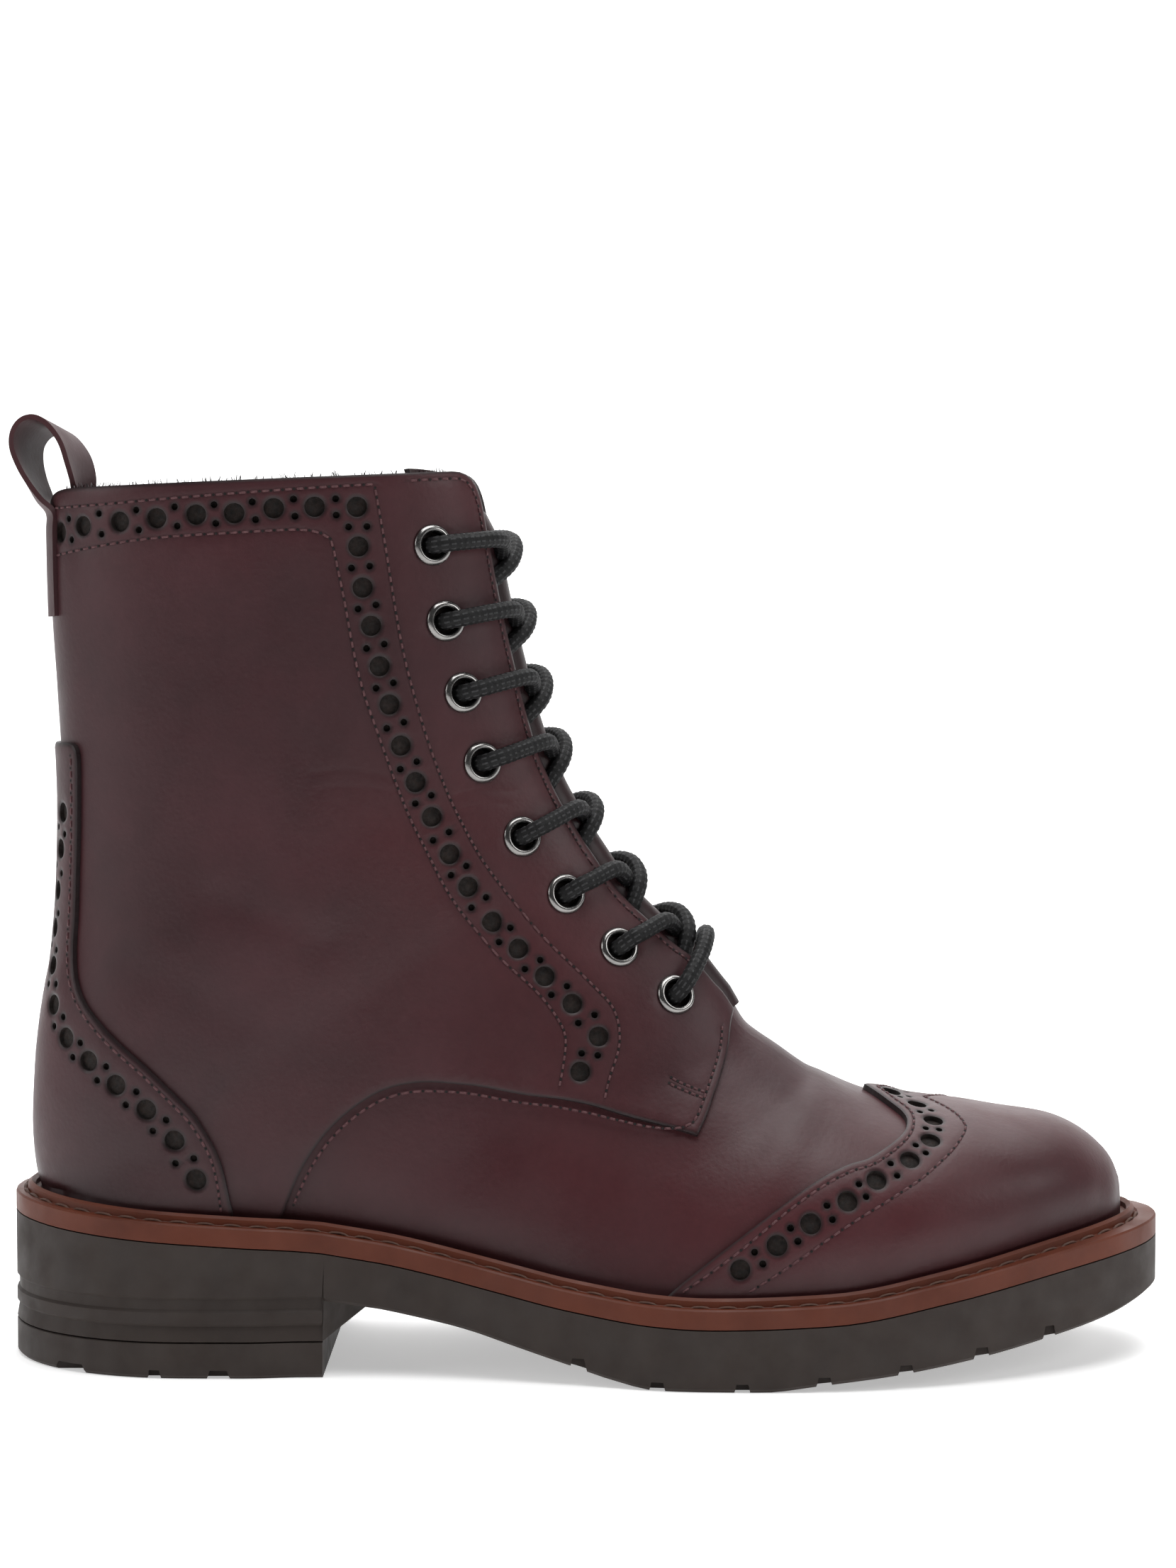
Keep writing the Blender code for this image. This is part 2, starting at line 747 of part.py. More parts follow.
def build_sole(material):
    plateau = WELT_LAP + CLEARANCE

    def inset(amount):
        return lambda share, side: (-plateau - amount, lambda s: sole_top(s) + FEATHER_RISE - CLEARANCE)

    rings = [
        inset(0.0),
        lambda share, side: (-plateau, sole_top),
        lambda share, side: (reach_at(share), sole_top),
    ]
    levels = []
    for k, height in enumerate(RIB_HEIGHTS[::-1]):
        above, below = ((0.0, RIB_DEPTH), (RIB_DEPTH, 0.0))[k % 2]
        levels += [(height + RIB_DEPTH / 2, above), (height - RIB_DEPTH / 2, below)]
    floor = LIFT_HEIGHT + CLEARANCE
    for k, (height, depth) in enumerate(levels):
        part = (k + 1) / (len(levels) + 1)

        def ring(share, side, height=height, depth=depth, part=part):
            if heel_zone(share):
                return reach_at(share) - depth, lambda s: height
            return reach_at(share), lambda s: sole_top(s) + (sole_bottom(s) + EDGE_ROUND - sole_top(s)) * part

        rings.append(ring)

    def low_edge(share, side):
        if heel_zone(share):
            return reach_at(share), lambda s: floor + EDGE_ROUND / 4
        return reach_at(share), lambda s: sole_bottom(s) + EDGE_ROUND

    def low_face(share, side):
        if heel_zone(share):
            return reach_at(share) - EDGE_ROUND / 4, lambda s: floor
        return reach_at(share) - EDGE_ROUND, sole_bottom

    made = loops(STATIONS, [*rings, low_edge, low_face])
    turn = STATIONS.index(BREAST) + 1
    rake = BREAST_RAKE

    def raked(point):
        return point[0] + rake, point[1], sole_bottom(share_of(point[0] + rake))

    for ring in made[-2:]:
        x, y, z = raked(ring[1][turn])
        ring[1][turn] = (x, y, z + (EDGE_ROUND if ring is made[-2] else 0.0))

    def middle(k, point):
        return raked(point) if k == turn else point

    sole = ring_solid("outsole", made, material, (None, middle))
    cut(sole, notch_cutter(FORE_NOTCHES, sole_bottom))
    return sole


def build_lift(material):
    stations = [s for s in STATIONS if s <= BREAST]
    tops = [
        (EDGE_ROUND / 4, LIFT_HEIGHT),
        (0.0, LIFT_HEIGHT - EDGE_ROUND / 4),
        (0.0, EDGE_ROUND),
        (EDGE_ROUND, 0.0),
    ]
    rings = [
        lambda share, side, depth=depth, height=height: (reach_at(share) - depth, lambda s: height)
        for depth, height in tops
    ]
    lift = ring_solid("heel_lift", loops(stations, rings), material)
    cut(lift, notch_cutter(HEEL_NOTCHES, lambda s: 0.0))
    return lift


# Notches in the lower edge of the sole: place along and width as a share of NOTCH_WIDTH.
HEEL_NOTCHES = ((0.047, 2.2), (0.112, 0.9), (0.166, 1.5))
FORE_NOTCHES = ((0.499, 1.0), (0.570, 1.0), (0.641, 1.0), (0.712, 1.0), (0.781, 1.0), (0.846, 1.0), (0.905, 0.8))


def notch_cutter(notches, floor):
    """Wedges that cut the notches from both sides, as one mesh of separate solids."""
    verts, faces = [], []
    for share, width in notches:
        for side in (OUTER, INNER):
            x, y = edge_point(share, side, reach_at(share))
            base = floor(share_of(x))
            half = NOTCH_WIDTH * width / 2
            start = len(verts)
            for reach in (2 * NOTCH_REACH, -NOTCH_REACH):
                for dx, dz in (
                    (-half * 1.25, -NOTCH_HEIGHT),
                    (half * 1.25, -NOTCH_HEIGHT),
                    (half * 0.75, NOTCH_HEIGHT),
                    (-half * 0.75, NOTCH_HEIGHT),
                ):
                    verts.append((x + dx, y + side * reach, base + dz))
            for a, b, c, d in ((0, 1, 2, 3), (7, 6, 5, 4), (0, 4, 5, 1), (1, 5, 6, 2), (2, 6, 7, 3), (3, 7, 4, 0)):
                faces.append([start + a, start + b, start + c, start + d])
    return closed_mesh("notch_cutter", verts, faces, None)


def build_welt(material):
    top = WELT_THICKNESS
    low = CLEARANCE

    def bead(share):
        return STACK * eased(WELT_PATH, share)[0] + BEAD_GAP

    profile = [
        (lambda s: -WELT_LAP, low),
        (lambda s: reach_at(s), low),
        (lambda s: reach_at(s), low + top - EDGE_ROUND / 2),
        (lambda s: reach_at(s) - EDGE_ROUND / 2, low + top),
        (lambda s: bead(s) + BEAD_WIDTH * 1.4, low + top),
        (lambda s: bead(s) + BEAD_WIDTH * 1.2, low + top - EDGE_ROUND / 2),
        (lambda s: bead(s) + BEAD_WIDTH, low + top),
        (lambda s: bead(s) + BEAD_WIDTH * 0.85, low + top + BEAD_HEIGHT * 0.7),
        (lambda s: bead(s) + BEAD_WIDTH * 0.45, low + top + BEAD_HEIGHT),
        (lambda s: bead(s), low + top + BEAD_HEIGHT * 0.6),
        (lambda s: bead(s), low + top),
        (lambda s: -WELT_LAP, low + top),
    ]
    rings = [
        lambda share, side, far=far, rise=rise: (far(share), lambda s: sole_top(s) + rise) for far, rise in profile
    ]
    stations = [s for s in STATIONS if s != BREAST + 0.0015]
    return ring_solid("welt", loops(stations, rings), material, hollow=True)


def build_insole(material):
    wall = WALL + 4 * CLEARANCE
    rings = [
        lambda share, side: (-wall, lambda s: feather_height(s) + INSOLE_THICKNESS),
        lambda share, side: (-wall, feather_height),
    ]
    stations = [s for s in STATIONS if s != BREAST + 0.0015]
    return ring_solid("insole", loops(stations, rings), material)


def at_width(row, y):
    """v at a distance from the ridge's middle line."""
    half = half_width(row, OUTER)
    return math.asin(min(abs(y) / half, 1.0) ** (section(row)[5] / 2)) / math.pi


def over(row, y, height):
    """Point at a height over the form, y from the middle line near the ridge."""
    side = OUTER if y < 0 else INNER
    v = at_width(row, y)
    return form(row, v, side) + normal(row, v, side) * height


def eyelet_line(row, side):
    """v at EYELET_INSET from the throat's edge, measured square to the edge."""
    v = upper_edge(row)
    here = form(row, v, side)
    run = (form(row + 0.05, upper_edge(row + 0.05), side) - form(max(row - 0.05, 0), upper_edge(max(row - 0.05, 0)), side)).normalized()
    want = None
    travelled = 0.0
    while travelled < EYELET_INSET * 3:
        step = form(row, v + 0.004, side)
        travelled += (step - here).length
        here = step
        v += 0.004
        away = here - form(row, upper_edge(row), side)
        want = (away - run * away.dot(run)).length
        if want >= EYELET_INSET:
            break
    return v


def eyelet_rows():
    """Rows of the eyelets, spread evenly along their line between equal margins."""
    rows = spread(0.0, THROAT_END, 50)
    points = [form(r, eyelet_line(r, OUTER), OUTER) for r in rows]
    lengths = [0.0]
    for a, b in zip(points, points[1:]):
        lengths.append(lengths[-1] + (b - a).length)
    first, last = EYELET_MARGIN, lengths[-1] - EYELET_MARGIN
    return [float(np.interp(first + (last - first) * k / (EYELETS - 1), lengths, rows)) for k in range(EYELETS)]


def eyelet_frames(side):
    frames = []
    for row in eyelet_rows():
        v = eyelet_line(row, side)
        frames.append((form(row, v, side), normal(row, v, side)))
    return frames


def lathe(profile, centre, axis, turns, start=None):
    """Points and faces of a profile of (radius, height) turned about an axis."""
    frame = Matrix.Translation(centre) @ axis.to_track_quat("Z", "X").to_matrix().to_4x4()
    points, faces = [], []
    for k in range(turns):
        angle = 2 * math.pi * k / turns
        for radius, height in profile:
            points.append(frame @ Vector((radius * math.cos(angle), radius * math.sin(angle), height)))
    size = len(profile)
    for k in range(turns):
        n = (k + 1) % turns
        for j in range(size):
            m = (j + 1) % size
            faces.append([k * size + j, n * size + j, n * size + m, k * size + m])
    return points, faces


def build_eyelets(material):
    seat = STACK + CLEARANCE
    barrel = BORE_RADIUS + BARREL_WALL
    profile = [
        (BORE_RADIUS, -WALL),
        (BORE_RADIUS, seat + FLANGE_HEIGHT),
        (EYELET_RADIUS - FLANGE_HEIGHT, seat + FLANGE_HEIGHT),
        (EYELET_RADIUS, seat),
        (barrel, seat),
        (barrel, -WALL),
    ]
    for side, word in ((OUTER, "outer"), (INNER, "inner")):
        for k, (centre, axis) in enumerate(eyelet_frames(side)):
            points, faces = lathe(profile, centre, axis, EYELET_SIDES)
            closed_mesh(f"eyelet_{word}_{k + 1}", [tuple(p) for p in points], faces, material)


def punch(target, side):
    """Cuts the eyelets' holes through a leather piece."""
    radius = BORE_RADIUS + BARREL_WALL + CLEARANCE
    points, faces = [], []
    for centre, axis in eyelet_frames(side):
        frame = Matrix.Translation(centre) @ axis.to_track_quat("Z", "X").to_matrix().to_4x4()
        start = len(points)
        for height in (-4 * WALL, 4 * WALL):
            for k in range(EYELET_SIDES):
                angle = 2 * math.pi * k / EYELET_SIDES
                points.append(frame @ Vector((radius * math.cos(angle), radius * math.sin(angle), height)))
        faces.append([start + k for k in range(EYELET_SIDES)])
        faces.append([start + EYELET_SIDES + k for k in range(EYELET_SIDES)])
        for k in range(EYELET_SIDES):
            n = (k + 1) % EYELET_SIDES
            faces.append([start + k, start + n, start + n + EYELET_SIDES, start + k + EYELET_SIDES])
    cut(target, closed_mesh("eyelet_cutter", [tuple(p) for p in points], faces, None))


def tube(path, radius, sides=6):
    """Points and faces of a tube with flat ends along a path."""
    points, faces = [], []
    for k, centre in enumerate(path):
        ahead = (path[min(k + 1, len(path) - 1)] - path[max(k - 1, 0)]).normalized()
        across = ahead.cross(Vector((0, 1, 0.01))).normalized()
        other = ahead.cross(across).normalized()
        for j in range(sides):
            angle = 2 * math.pi * (j + 0.5) / sides
            points.append(centre + (across * math.cos(angle) + other * math.sin(angle)) * radius)
    for k in range(len(path) - 1):
        for j in range(sides):
            n = (j + 1) % sides
            faces.append([k * sides + j, k * sides + n, (k + 1) * sides + n, (k + 1) * sides + j])
    faces.append(list(range(sides)))
    faces.append([(len(path) - 1) * sides + j for j in range(sides)])
    return [tuple(p) for p in points], faces


# How much higher the inner strand lies, as a share of the same height.
STAGGER = 0.10

# One strand of a lace crossing: how far it has come to the next row, its place across the throat
# as a share of half the gap, and its height as a share from the tongue's top to the facing's top.
STRAND = (
    # down, across, height
    (0.14, -1.45, 1.00),
    (0.22, -1.02, 1.00),
    (0.50, 0.00, 0.70),
    (0.72, 0.48, 0.20),
)


def build_laces(material):
    rows = eyelet_rows()
    radius = LACE_DIAMETER / 2
    low = -WALL + radius
    high = STACK + 2 * CLEARANCE + radius
    for k in range(EYELETS - 1):
        strands = []
        for side in (OUTER, INNER):
            path = []
            for down, across, height in STRAND:
                row = rows[k] + (rows[k + 1] - rows[k]) * down
                y = across * gap_at(row) / 2
                lift = low + (high - low) * (height if side == OUTER else height + STAGGER)
                path.append(over(row, y if side == OUTER else -y, lift))
            strands.append(path)
        pieces = [closed_mesh("strand", *tube(path, radius), material) for path in strands]
        cut(pieces[0], pieces[1], "UNION")
        pieces[0].name = f"lace_crossing_{k + 1}"
    row = rows[-1]
    half = gap_at(row) / 2
    seat = high - 2 * CLEARANCE
    path = [over(row, y, height) for y, height in (
        (-half * 1.75, seat),
        (-half * 0.9, seat + CLEARANCE),
        (half * 0.9, seat + CLEARANCE),
        (half * 1.75, seat),
    )]
    bar = closed_mesh("lace_bar", *tube(path, radius), material)
    return bar


def sheet(name, grid, thickness, material):
    """Closed sheet of a thickness about a grid of points."""
    rows, columns = len(grid), len(grid[0])
    points = np.array([[tuple(p) for p in line] for line in grid])
    down = np.gradient(points, axis=0)
    across = np.gradient(points, axis=1)
    out = np.cross(down, across)
    out /= np.linalg.norm(out, axis=2, keepdims=True)
    verts = np.concatenate([(points + out * thickness / 2).reshape(-1, 3), (points - out * thickness / 2).reshape(-1, 3)])
    size = rows * columns
    faces = []
    for i in range(rows - 1):
        for j in range(columns - 1):
            a, b = i * columns + j, (i + 1) * columns + j
            faces.append([a, b, b + 1, a + 1])
            faces.append([size + a, size + a + 1, size + b + 1, size + b])
    rim = [(0, j) for j in range(columns)] + [(i, columns - 1) for i in range(1, rows)]
    rim += [(rows - 1, j) for j in range(columns - 2, -1, -1)] + [(i, 0) for i in range(rows - 2, 0, -1)]
    for (i, j), (m, n) in zip(rim, rim[1:] + rim[:1]):
        a, b = i * columns + j, m * columns + n
        faces.append([a, b, b + size, a + size])
    return closed_mesh(name, [tuple(v) for v in verts], faces, material)


# Free part of the pull loop in side view, from inside the collar to outside it: shares of
# LOOP_REACH from the shaft's back and of LOOP_RISE over the collar; bow keeps the shaft's curve.
LOOP = (
    # forward, rise, bow
    (0.33, 0.10, 0.75),
    (0.44, 0.36, 0.50),
    (0.36, 0.62, 0.30),
    (0.10, 0.86, 0.15),
    (-0.24, 1.00, 0.10),
    (-0.60, 0.86, 0.15),
    (-0.72, 0.62, 0.30),
    (-0.60, 0.34, 0.50),
    (-0.34, 0.08, 0.75),
)


def build_loop(material):
    across = [LOOP_WIDTH * share for share in (-0.5, -0.25, 0.0, 0.25, 0.5)]

    def wrapped(row, height):
        line = []
        for y in across:
            side = OUTER if y < 0 else INNER
            v = 0.5 + math.acos(min(abs(y) / half_width(row, side), 1.0)) / math.pi
            line.append(form(row, v, side) + normal(row, v, side) * height)
        return line

    inside = -(WALL + 3 * CLEARANCE + LOOP_THICKNESS / 2)
    outside = STACK + CLEARANCE + LOOP_THICKNESS / 2
    grid = [wrapped(row, inside) for row in (0.75, 0.4, 0.06)]
    collar = wrapped(0.0, 0.0)
    for forward, rise, bow in LOOP:
        middle = collar[2]
        line = []
        for y, point in zip(across, collar):
            x = middle.x + LOOP_REACH * forward + (point.x - middle.x) * bow
            line.append(Vector((x, y, middle.z + LOOP_RISE * rise)))
        grid.append(line)
    grid += [wrapped(row, outside) for row in (0.06, 0.4, 0.8, 1.2)]
    return sheet("pull_loop", grid, LOOP_THICKNESS, material)


def clear_scene():
    for obj in list(bpy.data.objects):
        bpy.data.objects.remove(obj)


def build():
    clear_scene()
    leather = principled("burgundy_leather", (0.075, 0.024, 0.028), 0.45)
    panel = principled("panel_leather", (0.068, 0.021, 0.025), 0.42)
    webbing = principled("loop_leather", (0.060, 0.020, 0.023), 0.55)
    welting = principled("brown_welt", (0.150, 0.060, 0.035), 0.50)
    rubber = principled("dark_rubber", (0.045, 0.035, 0.030), 0.65)
    lining = principled("insole_leather", (0.200, 0.110, 0.070), 0.70)
    metal = principled("dark_nickel", (0.120, 0.110, 0.110), 0.35, 1.0)
    cord = principled("waxed_cord", (0.020, 0.020, 0.022), 0.75)
    upper = build_upper(leather)
    quarters = [
        build_quarter("quarter_outer", OUTER, panel),
        build_quarter("quarter_inner", INNER, panel),
    ]
    for side, quarter in zip((OUTER, INNER), quarters):
        punch(upper, side)
        punch(quarter, side)
    build_counter(panel)
    build_wing(panel)
    build_tongue(leather)
    build_insole(lining)
    build_welt(welting)
    build_sole(rubber)
    build_lift(rubber)
    build_eyelets(metal)
    build_laces(cord)
    build_loop(webbing)


build()
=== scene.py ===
"""The brogue boot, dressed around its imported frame. Metres, +X to the toe, +Y inward, +Z up."""

import json
import math
from functools import lru_cache

import bmesh
import bpy
import numpy as np
from mathutils import Matrix, Vector
from mathutils.geometry import delaunay_2d_cdt
from mathutils.kdtree import KDTree

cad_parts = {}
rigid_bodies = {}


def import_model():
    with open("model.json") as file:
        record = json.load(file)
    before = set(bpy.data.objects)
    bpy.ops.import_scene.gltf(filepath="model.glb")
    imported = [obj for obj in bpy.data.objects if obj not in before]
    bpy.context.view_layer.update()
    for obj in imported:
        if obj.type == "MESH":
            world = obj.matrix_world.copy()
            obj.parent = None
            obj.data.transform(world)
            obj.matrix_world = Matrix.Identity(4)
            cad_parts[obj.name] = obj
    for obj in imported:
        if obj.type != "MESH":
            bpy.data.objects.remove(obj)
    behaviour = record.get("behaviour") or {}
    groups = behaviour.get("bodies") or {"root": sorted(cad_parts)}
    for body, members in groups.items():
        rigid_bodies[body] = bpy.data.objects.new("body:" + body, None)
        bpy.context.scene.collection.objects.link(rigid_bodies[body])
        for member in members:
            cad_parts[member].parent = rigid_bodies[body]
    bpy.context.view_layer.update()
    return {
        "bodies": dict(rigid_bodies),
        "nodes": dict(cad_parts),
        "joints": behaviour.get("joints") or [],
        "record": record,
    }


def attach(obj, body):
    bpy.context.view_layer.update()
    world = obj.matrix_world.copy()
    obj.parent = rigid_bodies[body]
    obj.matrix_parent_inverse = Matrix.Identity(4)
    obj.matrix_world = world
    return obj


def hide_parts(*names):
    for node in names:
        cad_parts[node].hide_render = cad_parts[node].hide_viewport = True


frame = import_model()

# Last.
LAST_LENGTH = 0.2554
LAST_BACK = -0.0276
BALL_WIDTH = 0.0860
SHAFT_WIDTH = 0.0560
VAMP_RISE = 0.0580
SHAFT_RISE = 0.1130
HEEL_ROUND = 0.034
TOE_ROUND = 0.066
# Layers.
WALL = 0.0020
OVERLAY = 0.0014
TONGUE_WALL = 0.0024
CLEARANCE = 0.0003
# Sole, welt and insole.
HEEL_HEIGHT = 0.0349
BALL_HEIGHT = 0.0142
TOE_RISE = 0.0132
TOE_SPRING = 0.0170
HEEL_LENGTH = 0.0760
BREAST_RAKE = 0.0100
LIFT_HEIGHT = 0.0083
SHANK_RISE = 0.0180
SOLE_REACH = 0.0060
TOE_REACH = 0.0025
WELT_THICKNESS = 0.0046
WELT_LAP = 0.0060
BEAD_WIDTH = 0.0020
BEAD_HEIGHT = 0.0020
BEAD_GAP = 0.0014
INSOLE_THICKNESS = 0.0030
RIB_HEIGHTS = (0.0125, 0.0158, 0.0188)
RIB_DEPTH = 0.0006
EDGE_ROUND = 0.0008
NOTCH_WIDTH = 0.0036
NOTCH_HEIGHT = 0.0020
NOTCH_REACH = 0.0034
# Lacing and loop.
EYELETS = 8
EYELET_RADIUS = 0.0048
THROAT_GAP = 0.0180
LACE_DIAMETER = 0.0038
LOOP_WIDTH = 0.0180
LOOP_THICKNESS = 0.0012
OUTER, INNER = -1, 1
# Share of the inner side's narrower feather that the leather above it follows.
WAIST_CUT = 0.9
FEATHER_RISE = WELT_THICKNESS + 2 * CLEARANCE
STACK = OVERLAY + CLEARANCE
# Top of the sole along its length: shares of the heel's extra height and of the toe's rise.
SOLE_TOP = (
    # along, heel, toe
    (0.00, 0.980, 0.00),
    (0.04, 0.925, 0.00),
    (0.12, 0.840, 0.00),
    (0.26, 0.715, 0.00),
    (0.32, 0.600, 0.00),
    (0.42, 0.330, 0.00),
    (0.50, 0.125, 0.00),
    (0.57, 0.020, 0.00),
    (0.61, 0.000, 0.00),
    (0.72, 0.000, 0.07),
    (0.82, 0.000, 0.38),
    (0.92, 0.000, 0.76),
    (1.00, 0.000, 1.00),
)
# Underside in front of the heel: shares of the shank's rise and of the toe spring.
SOLE_BOTTOM = (
    # along, shank, toe
    (0.26, 1.00, 0.00),
    (0.30, 0.93, 0.00),
    (0.35, 0.80, 0.00),
    (0.40, 0.64, 0.00),
    (0.44, 0.47, 0.00),
    (0.49, 0.26, 0.00),
    (0.53, 0.10, 0.00),
    (0.57, 0.00, 0.00),
    (0.66, 0.00, 0.00),
    (0.71, 0.00, 0.085),
    (0.78, 0.00, 0.20),
    (0.85, 0.00, 0.36),
    (0.91, 0.00, 0.54),
    (0.96, 0.00, 0.71),
    (1.00, 0.00, 0.93),
)
# Layers of panel leather that the welt goes round, and the toe's share of extra reach.
WELT_PATH = (
    # along, layers, toe
    (0.00, 2.00, 0.00),
    (0.19, 2.00, 0.00),
    (0.24, 1.10, 0.00),
    (0.31, 0.80, 0.00),
    (0.52, 0.80, 0.00),
    (0.59, 1.00, 0.00),
    (0.80, 1.00, 0.10),
    (0.90, 1.00, 0.50),
    (1.00, 1.00, 1.00),
)
# Plan of the feather: half widths as shares of the ball's width, before the round ends.
PLAN = (
    # along, outer, inner, swing
    (0.00, 0.305, 0.305, 0.00),
    (0.14, 0.310, 0.305, 0.00),
    (0.26, 0.315, 0.285, 0.00),
    (0.38, 0.345, 0.262, 0.00),
    (0.50, 0.420, 0.310, 0.00),
    (0.60, 0.488, 0.415, 0.00),
    (0.70, 0.500, 0.492, 0.01),
    (0.80, 0.476, 0.492, 0.03),
    (0.90, 0.440, 0.440, 0.05),
    (1.00, 0.400, 0.400, 0.06),
)
# Ridge over the instep and foot of each section. The rises are shares of VAMP_RISE and of
# SHAFT_RISE over the feather; width is a share of the shaft's or the ball's width.
SECTIONS = (
    # ridge along, vamp, shaft, foot along, vamp, shaft, shaft width, ball width, widest, fullness
    (0.402, 1.00, 1.000, 0.007, 1.00, 0.962, 1.00, 0.00, 0.54, 2.25),
    (0.413, 1.00, 0.865, 0.008, 1.00, 0.740, 1.00, 0.00, 0.55, 2.20),
    (0.425, 1.00, 0.731, 0.013, 1.00, 0.526, 1.00, 0.00, 0.56, 2.15),
    (0.438, 1.00, 0.606, 0.017, 1.00, 0.320, 1.01, 0.00, 0.57, 2.10),
    (0.452, 1.00, 0.486, 0.015, 1.00, 0.133, 1.02, 0.00, 0.58, 2.05),
    (0.464, 1.00, 0.405, 0.006, 0.88, 0.000, 1.04, 0.00, 0.59, 2.00),
    (0.478, 1.00, 0.334, -0.006, 0.52, 0.000, 1.06, 0.00, 0.60, 2.00),
    (0.494, 1.00, 0.271, -0.009, 0.22, 0.000, 1.06, 0.00, 0.61, 2.00),
    (0.511, 1.00, 0.212, 0.000, 0.00, 0.000, 1.05, 0.00, 0.63, 2.00),
    (0.539, 1.00, 0.128, 0.034, 0.00, 0.000, 1.05, 0.00, 0.66, 2.00),
    (0.566, 1.00, 0.078, 0.092, 0.00, 0.000, 1.05, 0.00, 0.69, 2.00),
    (0.598, 1.00, 0.025, 0.171, 0.00, 0.000, 1.05, 0.00, 0.72, 2.00),
    (0.627, 0.93, 0.000, 0.261, 0.00, 0.000, 1.00, 0.04, 0.75, 2.00),
    (0.652, 0.84, 0.000, 0.363, 0.00, 0.000, 0.78, 0.24, 0.78, 2.00),
    (0.684, 0.84, 0.000, 0.464, 0.00, 0.000, 0.45, 0.53, 0.80, 2.05),
    (0.715, 0.82, 0.000, 0.570, 0.00, 0.000, 0.15, 0.84, 0.80, 2.10),
    (0.762, 0.73, 0.000, 0.668, 0.00, 0.000, 0.00, 1.02, 0.80, 2.15),
    (0.827, 0.63, 0.000, 0.762, 0.00, 0.000, 0.00, 0.985, 0.78, 2.20),
    (0.894, 0.505, 0.000, 0.856, 0.00, 0.000, 0.00, 0.845, 0.76, 2.25),
    (0.944, 0.41, 0.000, 0.922, 0.00, 0.000, 0.00, 0.650, 0.74, 2.25),
    (0.973, 0.31, 0.000, 0.966, 0.00, 0.000, 0.00, 0.440, 0.72, 2.20),
    (0.991, 0.21, 0.000, 0.990, 0.00, 0.000, 0.00, 0.245, 0.70, 2.10),
    (0.999, 0.12, 0.000, 1.000, 0.00, 0.000, 0.00, 0.00, 0.70, 2.00),
)
TIP = len(SECTIONS) - 1
HEEL_CORNER = 8
THROAT_END = 12.5
TONGUE_TOP = -0.25


def eased(table, place):
    """Row of a table at a place in its first column, by a curve that never overshoots."""
    data = np.array(table, float)
    xs = data[:, 0]
    place = float(place)
    if place <= xs[0] or place >= xs[-1]:
        return data[0 if place <= xs[0] else -1, 1:]
    step = np.diff(xs)
    slope = np.diff(data[:, 1:], axis=0) / step[:, None]
    i = int(np.searchsorted(xs, place, side="right") - 1)

    def tangent(k):
        if k == 0 or k == len(xs) - 1:
            return slope[0 if k == 0 else -1]
        before, after = slope[k - 1], slope[k]
        weight_a = 2 * step[k] + step[k - 1]
        weight_b = step[k] + 2 * step[k - 1]
        same = before * after > 0
        safe_before = np.where(same, before, 1.0)
        safe_after = np.where(same, after, 1.0)
        mean = (weight_a + weight_b) / (weight_a / safe_before + weight_b / safe_after)
        return np.where(same, mean, 0.0)

    t = (place - xs[i]) / step[i]
    low, high = data[i, 1:], data[i + 1, 1:]
    return (
        low * (1 + 2 * t) * (1 - t) ** 2
        + tangent(i) * step[i] * t * (1 - t) ** 2
        + high * t * t * (3 - 2 * t)
        - tangent(i + 1) * step[i] * t * t * (1 - t)
    )


def along(share):
    return LAST_BACK + LAST_LENGTH * share


def sole_top(share):
    heel, toe = eased(SOLE_TOP, share)
    return BALL_HEIGHT + (HEEL_HEIGHT - BALL_HEIGHT) * heel + TOE_RISE * toe


@lru_cache(maxsize=None)
def feather_height(share):
    return sole_top(share) + FEATHER_RISE


def sole_bottom(share):
    shank, toe = eased(SOLE_BOTTOM, share)
    return SHANK_RISE * shank + TOE_SPRING * toe


@lru_cache(maxsize=None)
def feather(share, side):
    """Distance of the feather from the last's middle line, on one side."""
    outer, inner, _ = eased(PLAN, share)
    from_back = min(share * LAST_LENGTH / HEEL_ROUND, 1.0)
    from_tip = min((1 - share) * LAST_LENGTH / TOE_ROUND, 1.0)
    ends = math.sqrt(max(1 - (1 - from_back) ** 2, 0)) * math.sqrt(max(1 - (1 - from_tip) ** 2, 0))
    return BALL_WIDTH * (inner if side == INNER else outer) * ends


def swing(share):
    """How far the last's middle line bends towards the inner side."""
    return BALL_WIDTH * eased(PLAN, share)[2]


@lru_cache(maxsize=None)
def feather_slope(share, side):
    low, high = max(share - 0.004, 0.0), min(share + 0.004, 1.0)
    return (feather(high, side) - feather(low, side)) / (LAST_LENGTH * (high - low))

SECTION_ROWS = tuple((i, *entry) for i, entry in enumerate(SECTIONS))


@lru_cache(maxsize=None)
def section(row):
    """Ends and shape of the section at a row, which may lie between two lines of the table."""
    if row < 0:
        first, second = (eased(SECTION_ROWS, k) for k in (0, 0.5))
        shape = first + (second - first) * row / 0.5
    else:
        shape = eased(SECTION_ROWS, row)
    ridge_x, ridge_vamp, ridge_shaft, foot_x, foot_vamp, foot_shaft = shape[:6]
    shaft, ball, widest, full = shape[6:]
    seat = feather_height(foot_x)
    ridge = (along(ridge_x), seat + VAMP_RISE * ridge_vamp + SHAFT_RISE * ridge_shaft)
    foot = (along(foot_x), seat + VAMP_RISE * foot_vamp + SHAFT_RISE * foot_shaft)
    half = (SHAFT_WIDTH * shaft + BALL_WIDTH * ball) / 2
    return ridge, foot, foot_x, half, widest, full


